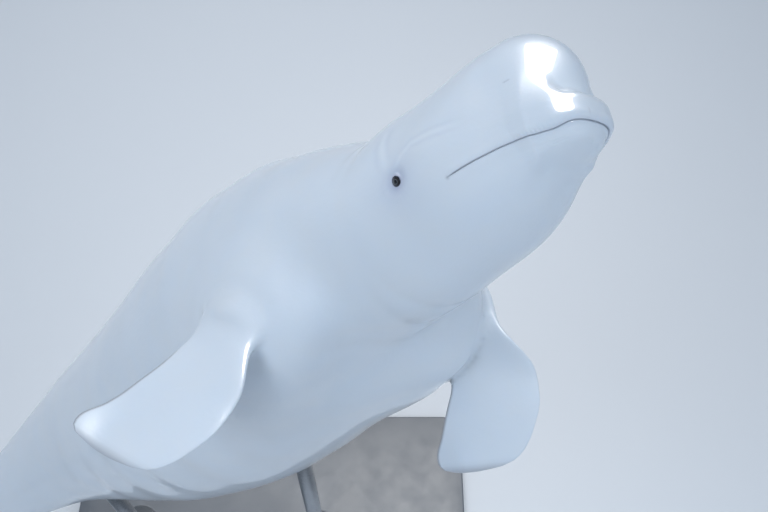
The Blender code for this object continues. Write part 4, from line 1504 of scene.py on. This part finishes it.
    def limbs(self) -> list[tuple[Surface, float]]:
        """Flippers and flukes as closed surfaces.

        Returns:
            Each surface with its distance behind the snout.
        """
        right = Flipper(form=self.form, spine=self.spine, length=0.3942)
        left = Flipper(form=self.form, spine=self.spine, side=Side.LEFT, root_at=0.93,
                       below=math.radians(34), span=(-0.16, -0.09, -0.98),
                       chord=(0.75, 0.64, -0.14), root_chord=(0.97, 0.00, 0.18))
        flukes = Flukes(form=self.form, spine=self.spine)
        made = []
        blades = (("flipper_right", right, right.root_at), ("flipper_left", left, left.root_at),
                  ("flukes", flukes, flukes.root[1]))
        for name, blade, start in blades:
            points, edge = blade.points()
            mesh = mesh_from_grid(points, None, None, name + "_skin")
            world = read_points(mesh)
            tints = np.zeros((len(world), len(TINTS)))
            tints[:edge.size, TINTS.index("edge")] = edge.ravel()
            rest = self.spine.return_to_body(world, start)
            made.append((Surface(add_piece(name + "_skin", mesh, None), rest, tints), start))
        return made

    def join(self, body: Surface, limb: Surface, start: float) -> Array:
        """Join a limb to the body as one closed surface, and drop the limb's own object.

        Args:
            body: The body so far, which takes the limb's points, places and tints.
            limb: The limb.
            start: About how far behind the snout the limb is.

        Returns:
            The new points, where the two surfaces met.
        """
        known = np.concatenate((read_points(body.piece.data), read_points(limb.piece.data)))
        union = body.piece.modifiers.new("join", "BOOLEAN")
        union.operation = "UNION"
        union.solver = "EXACT"
        union.object = limb.piece
        graph = bpy.context.evaluated_depsgraph_get()
        mesh = bpy.data.meshes.new_from_object(body.piece.evaluated_get(graph))
        body.piece.modifiers.clear()
        old, other = body.piece.data, limb.piece.data
        body.piece.data = mesh
        bpy.data.objects.remove(limb.piece)
        bpy.data.meshes.remove(old)
        bpy.data.meshes.remove(other)
        points = read_points(mesh)
        index = same_places(known, points)
        fresh = index < 0
        body.rest = np.concatenate((body.rest, limb.rest))[index]
        body.tints = np.concatenate((body.tints, limb.tints))[index]
        body.rest[fresh] = self.spine.return_to_body(points[fresh], start)
        body.tints[fresh] = 0.0
        LOG.info("joined a limb: %d points, %d of them new", len(points), fresh.sum())
        return points[fresh]

    def calm_joins(self, mesh: bpy.types.Mesh, seam: Array, reach: float = 0.055,
                   core: float = 0.35, rounds: int = 30) -> None:
        """Even out the surface beside the edges where limbs meet the body.

        Args:
            mesh: The joined skin.
            seam: Points on those edges.
            reach: How far from a join the points may move.
            core: Share of the reach within which they move in full.
            rounds: How often each point moves half way to the middle of its neighbours.
        """
        points = read_points(mesh)
        low, high = seam.min(axis=0) - reach, seam.max(axis=0) + reach
        near = np.flatnonzero(((points > low) & (points < high)).all(axis=1))
        gap = np.full(len(points), np.inf)
        for part in np.array_split(near, max(1, len(near) // BATCH)):
            off = points[part][:, None] - seam[None]
            gap[part] = np.sqrt((off * off).sum(axis=-1).min(axis=1))
        weight = (1 - smooth_step(gap, core * reach, reach)) * 0.5
        ends = read_parts(mesh.edges, "vertices", 2)
        a, b = ends.T
        degree = np.bincount(ends.ravel(), minlength=len(points)).astype(float)
        for _ in range(rounds):
            total = np.stack([np.bincount(a, points[b, i], len(points))
                              + np.bincount(b, points[a, i], len(points)) for i in range(3)], axis=-1)
            points = points + (total / degree[:, None] - points) * weight[:, None]
        write_points(mesh, points)


class Shader:
    """A material's nodes, with short calls to add and link them."""

    def __init__(self, name: str, **values: float | Colour | Point) -> None:
        """Start a Principled material.

        Args:
            name: Name of the material.
            values: Its own sockets, named with underscores for spaces.
        """
        self.material = bpy.data.materials.new(name)
        self.material.use_nodes = True
        self.tree = self.material.node_tree
        self.surface = self.tree.nodes["Principled BSDF"]
        self.fill(self.surface, values)
        self.coords = self.add("TexCoord")

    @staticmethod
    def fill(node: bpy.types.Node, values: dict[str, float | Colour | Point]) -> None:
        """Set a node's sockets, named with underscores for spaces."""
        for name, value in values.items():
            node.inputs[name.replace("_", " ")].default_value = value

    def add(self, kind: str, **values: float | Point) -> bpy.types.Node:
        """Add a node and set its sockets.

        Args:
            kind: Its type, without the leading ShaderNode.
            values: Its sockets, named with underscores for spaces.

        Returns:
            The node.
        """
        node = self.tree.nodes.new("ShaderNode" + kind)
        self.fill(node, values)
        return node

    def link(self, source: Socket, target: Socket) -> None:
        """Link two sockets."""
        self.tree.links.new(source, target)

    def drive(self, name: str, source: Socket) -> None:
        """Let a node's output set one of the material's own sockets."""
        self.link(source, self.surface.inputs[name])

    def stored(self, name: str, output: str = "Fac") -> Socket:
        """What is stored on the mesh's points under a name.

        Args:
            name: The name.
            output: Fac for a number, Vector for a place.

        Returns:
            The socket that gives it.
        """
        node = self.add("Attribute")
        node.attribute_name = name
        return node.outputs[output]

    def stretched(self, scale: Point, places: Socket | None = None) -> Socket:
        """Places stretched along their axes.

        Args:
            scale: How much along each axis.
            places: The places, or None for Object coordinates.

        Returns:
            The stretched places.
        """
        node = self.add("Mapping", Scale=scale)
        self.link(places or self.coords.outputs["Object"], node.inputs["Vector"])
        return node.outputs["Vector"]

    def noise(self, scale: float, detail: float, places: Socket | None = None) -> Socket:
        """Cloudy noise between 0 and 1.

        Args:
            scale: How many clouds there are in a metre.
            detail: How many finer layers lie over them.
            places: Where it is read, or None for Object coordinates.

        Returns:
            The noise.
        """
        node = self.add("TexNoise", Scale=scale, Detail=detail)
        self.link(places or self.coords.outputs["Object"], node.inputs["Vector"])
        return node.outputs["Fac"]

    def ramp(self, value: Socket, start: Span, end: Span) -> Socket:
        """Number turned into another by one straight run, level beyond its ends.

        Args:
            value: The number.
            start: Where the run starts, and the number that it gives there.
            end: Where it ends, and what it gives there.

        Returns:
            The other number.
        """
        node = self.add("MapRange", From_Min=start[0], From_Max=end[0], To_Min=start[1], To_Max=end[1])
        self.link(value, node.inputs["Value"])
        return node.outputs["Result"]

    def blend(self, share: Socket, base: Socket | Colour, over: Colour) -> Socket:
        """Colour laid over another.

        Args:
            share: How much of it, from 0 to 1.
            base: The colour below.
            over: The colour laid over it.

        Returns:
            The mixed colour.
        """
        node = self.add("Mix")
        node.data_type = "RGBA"
        self.link(share, node.inputs["Factor"])
        below, above = (i for i in node.inputs if i.type == "RGBA")
        above.default_value = over
        if isinstance(base, tuple):
            below.default_value = base
        else:
            self.link(base, below)
        return next(o for o in node.outputs if o.type == "RGBA")

    def sum(self, *parts: tuple[Socket, float]) -> Socket:
        """Weighted sum of numbers.

        Args:
            parts: Each number with its weight.

        Returns:
            The sum.
        """
        total = None
        for socket, weight in parts:
            node = self.add("Math")
            node.operation = "MULTIPLY_ADD"
            self.link(socket, node.inputs[0])
            node.inputs[1].default_value = weight
            node.inputs[2].default_value = 0.0
            if total is not None:
                self.link(total, node.inputs[2])
            total = node.outputs[0]
        return total

    def bump(self, height: Socket, distance: float, strength: float) -> None:
        """Give the surface small relief.

        Args:
            height: The relief, from 0 to 1.
            distance: Its full height in metres.
            strength: Share of it that shows.
        """
        node = self.add("Bump", Distance=distance, Strength=strength)
        self.link(height, node.inputs["Height"])
        self.drive("Normal", node.outputs["Normal"])


@dataclass(frozen=True)
class WetWhiteSkin:
    """White skin with a wet sheen, faint clouds of colour and very fine lines."""

    base: Colour = (0.805, 0.850, 0.900, 1.0)
    cool: Colour = (0.715, 0.780, 0.850, 1.0)
    warm: Colour = (0.830, 0.845, 0.855, 1.0)
    # Painted bluish shade round the eye, beside the mouth line and in the furrows beside the folds
    lilac: Colour = (0.370, 0.400, 0.570, 1.0)
    pink: Colour = (0.430, 0.230, 0.290, 1.0)
    # Painted highlight on the folds' crests
    pale: Colour = (0.880, 0.920, 0.960, 1.0)
    # Painted shade in the mouth's and blowhole's slits and the mouth's corner, with the real dark of the
    # lid edges and scars
    dark: Colour = (0.045, 0.042, 0.060, 1.0)
    edge: Colour = (0.200, 0.190, 0.210, 1.0)

    def make(self) -> Finish:
        """Clouds and stains of colour, then the stored tints with their painted shade and highlight,
        over fine lines, pores and waves.

        Returns:
            The material.
        """
        shader = Shader("finish_whale_skin", Roughness=0.34, IOR=1.38, Coat_Weight=0.70,
                        Coat_Roughness=0.06, Subsurface_Weight=0.22,
                        Subsurface_Radius=(0.9, 0.75, 0.65), Subsurface_Scale=0.010)
        clouds = shader.noise(2.6, 3.0)
        colour = shader.blend(shader.ramp(clouds, (0.42, 0.0), (0.72, 0.55)), self.base, self.cool)
        stains = shader.noise(6.5, 2.0, shader.stretched((1.0, 1.0, 1.7)))
        colour = shader.blend(shader.ramp(stains, (0.40, 0.0), (0.80, 0.50)), colour, self.warm)
        # Stored tints: painted shade, painted highlight on the fold crests, and the skin's own pink, lid
        # edges, scars and limb edges
        for name, over, most in (("lilac", self.lilac, 0.62), ("pale", self.pale, 0.70),
                                 ("pink", self.pink, 0.85), ("edge", self.edge, 0.80),
                                 ("dark", self.dark, 0.95)):
            share = shader.ramp(shader.stored(name), (0.0, 0.0), (1.0, most))
            colour = shader.blend(share, colour, over)
        shader.drive("Base Color", colour)
        along = shader.stretched((14.0, 60.0, 60.0), shader.stored("rest_place", "Vector"))
        lines = shader.noise(2.0, 2.0, along)
        pores = shader.noise(420.0, 2.0)
        waves = shader.noise(46.0, 3.0)
        shader.bump(shader.sum((lines, 0.35), (pores, 0.10), (waves, 0.55)), 0.0016, 0.35)
        shader.drive("Roughness", shader.ramp(shader.noise(9.0, 3.0), (0.3, 0.31), (0.7, 0.40)))
        return shader.material


@dataclass(frozen=True)
class DarkEye:
    """Dark brown eye with a slightly paler ring round its pupil."""

    pupil: Colour = (0.004, 0.004, 0.006, 1.0)
    ring: Colour = (0.105, 0.115, 0.125, 1.0)
    iris: Colour = (0.022, 0.016, 0.016, 1.0)
    outer: Colour = (0.014, 0.018, 0.030, 1.0)

    def make(self) -> Finish:
        """Rings by the stored angle from the eye's middle, with faint streaks in the iris.

        Returns:
            The material.
        """
        shader = Shader("finish_eye", Roughness=0.06, IOR=1.38, Coat_Weight=0.6,
                        Coat_Roughness=0.03)
        polar, streaks = shader.stored("polar"), shader.noise(900.0, 2.0)
        colour = self.pupil
        for value, low, high, most, over in ((polar, 0.20, 0.25, 1.0, self.ring),
                                             (polar, 0.27, 0.33, 1.0, self.iris),
                                             (streaks, 0.5, 0.8, 0.3, self.iris),
                                             (polar, 0.46, 0.54, 1.0, self.outer)):
            colour = shader.blend(shader.ramp(value, (low, 0.0), (high, most)), colour, over)
        shader.drive("Base Color", colour)
        return shader.material


@dataclass(frozen=True)
class SatinPaint:
    """Slate grey satin paint of the base, with a faint grain and a little dust."""

    paint: Colour = (0.150, 0.165, 0.185, 1.0)
    dusty: Colour = (0.225, 0.235, 0.250, 1.0)

    def make(self) -> Finish:
        """Paint with a little dust, uneven sheen and a fine grain.

        Returns:
            The material.
        """
        shader = Shader("finish_stand_base")
        dust = shader.ramp(shader.noise(5.0, 5.0), (0.40, 0.0), (0.75, 0.3))
        shader.drive("Base Color", shader.blend(dust, self.paint, self.dusty))
        shader.drive("Roughness", shader.ramp(shader.noise(11.0, 4.0), (0.35, 0.52), (0.70, 0.60)))
        shader.bump(shader.noise(620.0, 2.0), 0.0004, 0.5)
        return shader.material


@dataclass(frozen=True)
class BrushedSteel:
    """Brushed steel of the rods, its fine lines running round them."""

    steel: Colour = (0.520, 0.530, 0.545, 1.0)
    shade: Colour = (0.380, 0.390, 0.405, 1.0)

    def make(self) -> Finish:
        """Metal whose colour and sheen follow noise stretched into lines.

        Returns:
            The material.
        """
        shader = Shader("finish_stand_rod", Metallic=1.0)
        lines = shader.noise(6.0, 4.0, shader.stretched((2.0, 2.0, 160.0)))
        shade = shader.ramp(lines, (0.35, 0.0), (0.65, 0.8))
        shader.drive("Base Color", shader.blend(shade, self.steel, self.shade))
        shader.drive("Roughness", shader.ramp(lines, (0.3, 0.24), (0.7, 0.38)))
        shader.bump(lines, 0.0003, 0.4)
        return shader.material


@dataclass(frozen=True)
class PaleFloor:
    """Plain pale studio floor."""

    colour: Colour = (0.84, 0.85, 0.86, 1.0)

    def make(self) -> Finish:
        """One plain colour with a faint grain.

        Returns:
            The material.
        """
        shader = Shader("finish_floor", Base_Color=self.colour, Roughness=0.62)
        shader.bump(shader.noise(60.0, 2.0), 0.0006, 0.3)
        return shader.material


@dataclass
class Eyeball:
    """Whole eyeball behind the lids, with a clear front that bulges a little."""

    seat: EyeSeat
    # How much smaller the ball is than the room behind the lids
    room: float = 0.0004
    # Height and half angle of the clear front
    front: float = 0.0011
    front_half: float = 0.42
    rows: int = 44
    around: int = 64

    def build(self, finish: Finish) -> bpy.types.Object:
        """Sphere whose radius grows by a bell curve near its outward pole.

        Args:
            finish: Its material.

        Returns:
            The finished piece.
        """
        centre, axes = self.seat.world_frame()
        radius = self.seat.radius - self.room
        polar = np.linspace(0, np.pi, self.rows + 2)[1:-1, None]
        turn = np.linspace(0, 2 * np.pi, self.around, endpoint=False)[None]
        reach = radius + self.front * bell(polar, self.front_half)
        local = np.stack((reach * np.sin(polar) * np.cos(turn), reach * np.sin(polar) * np.sin(turn),
                          reach * np.cos(polar) + 0 * turn), axis=-1)
        poles = [centre + axes[:, 2] * (radius + self.front), centre - axes[:, 2] * radius]
        name = "eyeball_" + self.seat.side.name.lower()
        mesh = mesh_from_grid(centre + local @ axes.T, poles[0], poles[1], name)
        angles = np.concatenate((np.broadcast_to(polar, (self.rows, self.around)).ravel(), (0.0, np.pi)))
        write_share(mesh, "polar", angles)
        mesh.shade_smooth()
        return add_piece(name, mesh, finish)


@dataclass
class DisplayStand:
    """Base and rods, kept in the shape of the frame's own nodes with smooth shading."""

    nodes: dict[str, bpy.types.Object]
    # Points closer than this become one, and edges sharper than this stay hard
    merge: float = 0.00005
    sharp: float = math.radians(35)

    def build(self, finishes: dict[str, Finish]) -> dict[str, bpy.types.Object]:
        """Copy each node, merge its loose triangles and shade it smooth between its edges.

        Args:
            finishes: Material of each node.

        Returns:
            The new pieces by the node that each replaces.
        """
        made = {}
        for node, finish in finishes.items():
            mesh = self.nodes[node].data.copy()
            mesh.name = node + "_shown"
            with edited(mesh) as bm:
                bmesh.ops.remove_doubles(bm, verts=bm.verts, dist=self.merge)
            if mesh.has_custom_normals:
                mesh.normals_split_custom_set([(0, 0, 0)] * len(mesh.loops))
            mesh.shade_smooth()
            mesh.set_sharp_from_angle(angle=self.sharp)
            made[node] = add_piece(node + "_shown", mesh, finish)
        return made


@dataclass(frozen=True)
class SoftLight:
    """A rectangular light with its place, target, size, power and colour."""

    name: str
    place: Point
    target: Point
    size: Span
    power: float
    colour: Point
    # True where only its mirror image shows, in wet skin. False where it has no mirror image
    mirrored: bool = False

    def add(self) -> None:
        """Put the light into the scene, turned to its target."""
        lamp = bpy.data.lights.new(self.name, "AREA")
        lamp.shape = "RECTANGLE"
        lamp.size, lamp.size_y = self.size
        lamp.energy, lamp.color = self.power, self.colour
        holder = bpy.data.objects.new(self.name, lamp)
        holder.location = self.place
        aim = Vector(self.target) - Vector(self.place)
        holder.rotation_euler = aim.to_track_quat("-Z", "Y").to_euler()
        holder.visible_glossy, holder.visible_diffuse = self.mirrored, not self.mirrored
        bpy.context.scene.collection.objects.link(holder)


@dataclass
class Studio:
    """Floor, soft lights and the camera at the photograph's viewing angle."""

    stand_low: Array
    stand_high: Array
    floor_half: float = 30.0
    floor_lines: int = 9
    # Camera: offset from the base's middle, angle down, lens and sensor in millimetres, and
    # how far it sees
    eye_offset: Point = (0.613, -1.364, 4.978)
    look_down: float = math.radians(58)
    lens: float = 42.56
    sensor: float = 36.0
    sees_to: float = 200.0
    sky: Colour = (0.68, 0.81, 0.99, 1.0)
    sky_strength: float = 0.42
    lights: tuple[SoftLight, ...] = (
        SoftLight("key", (-3.0, -2.6, 7.4), (0.2, -0.1, 3.0), (4.0, 3.0), 140.0, (0.79, 0.89, 1.0)),
        SoftLight("side", (4.5, -2.5, 5.5), (0.3, 0.0, 2.8), (3.0, 3.0), 68.0, (0.74, 0.86, 1.0)),
        SoftLight("floor", (0.0, 4.0, 6.0), (0.0, 2.5, 0.0), (4.0, 4.0), 110.0, (0.97, 0.98, 1.0)),
        SoftLight("glint", (1.33, 2.10, 7.06), (0.73, -0.40, 3.86), (2.9, 5.7), 1390.0,
                  (1.0, 0.985, 0.96), mirrored=True),
    )

    def build(self, floor_finish: Finish) -> None:
        """Add the floor, the sky's even light, the soft lights and the camera.

        Args:
            floor_finish: Material of the floor.
        """
        self.add_floor(floor_finish)
        self.add_sky()
        for light in self.lights:
            light.add()
        self.add_camera()

    def add_floor(self, finish: Finish) -> None:
        """Flat grid under the base.

        Args:
            finish: Its material.
        """
        edge = np.linspace(-self.floor_half, self.floor_half, self.floor_lines)
        x, y = np.meshgrid(edge, edge, indexing="ij")
        points = np.stack((x, y, np.full_like(x, float(self.stand_low[2]))), axis=-1).reshape(-1, 3)
        index = np.arange(x.size).reshape(x.shape)
        faces = np.stack((index[:-1, :-1], index[1:, :-1], index[1:, 1:], index[:-1, 1:]), axis=-1)
        mesh = bpy.data.meshes.new("studio_floor")
        mesh.from_pydata(points.tolist(), [], faces.reshape(-1, 4).tolist())
        mesh.update()
        add_piece("studio_floor", mesh, finish)

    def add_sky(self) -> None:
        """Even pale light from all round."""
        world = bpy.data.worlds.new("studio")
        world.use_nodes = True
        background = world.node_tree.nodes["Background"]
        background.inputs["Color"].default_value = self.sky
        background.inputs["Strength"].default_value = self.sky_strength
        bpy.context.scene.world = world

    def add_camera(self) -> None:
        """Camera over the stand's middle by its offset, looking down along +Y."""
        data = bpy.data.cameras.new("camera")
        data.lens, data.sensor_width = self.lens, self.sensor
        data.clip_end = self.sees_to
        camera = bpy.data.objects.new("camera", data)
        middle = (self.stand_low + self.stand_high) / 2
        camera.location = (middle[0] + self.eye_offset[0], middle[1] + self.eye_offset[1],
                           self.stand_low[2] + self.eye_offset[2])
        camera.rotation_euler = (math.pi / 2 - self.look_down, 0.0, 0.0)
        bpy.context.scene.collection.objects.link(camera)
        bpy.context.scene.camera = camera
        bpy.context.scene.view_settings.view_transform = "Standard"


def main() -> None:
    """Load the frame, build every piece in order and report each one."""
    logging.basicConfig(level=logging.INFO, format="%(message)s")
    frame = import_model()
    form, spine = WhaleForm(), PosedSpine()
    seats = tuple(EyeSeat(form, spine, side) for side in Side)
    skin = WhaleSkin(form, spine, SkinRelief(form, seats)).build(WetWhiteSkin().make())
    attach(skin, "root")
    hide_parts("head", "neck", "chest", "belly", "tail_stock", "flipper_right",
                "flipper_left", "fluke_right", "fluke_left")
    LOG.info("skin: %d points", len(skin.data.vertices))
    eye_finish = DarkEye().make()
    for seat in seats:
        ball = Eyeball(seat).build(eye_finish)
        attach(ball, "root")
        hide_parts("eye_" + seat.side.name.lower())
        LOG.info("eyeball: %s", ball.name)
    paint, steel = SatinPaint().make(), BrushedSteel().make()
    finishes = {"stand_base": paint, "stand_rod_front": steel, "stand_rod_rear": steel}
    for node, piece in DisplayStand(frame["nodes"]).build(finishes).items():
        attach(piece, "root")
        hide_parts(node)
        LOG.info("stand: %s", piece.name)
    low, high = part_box("stand_base")
    Studio(np.array(low), np.array(high)).build(PaleFloor().make())


if __name__ == "__main__":
    main()
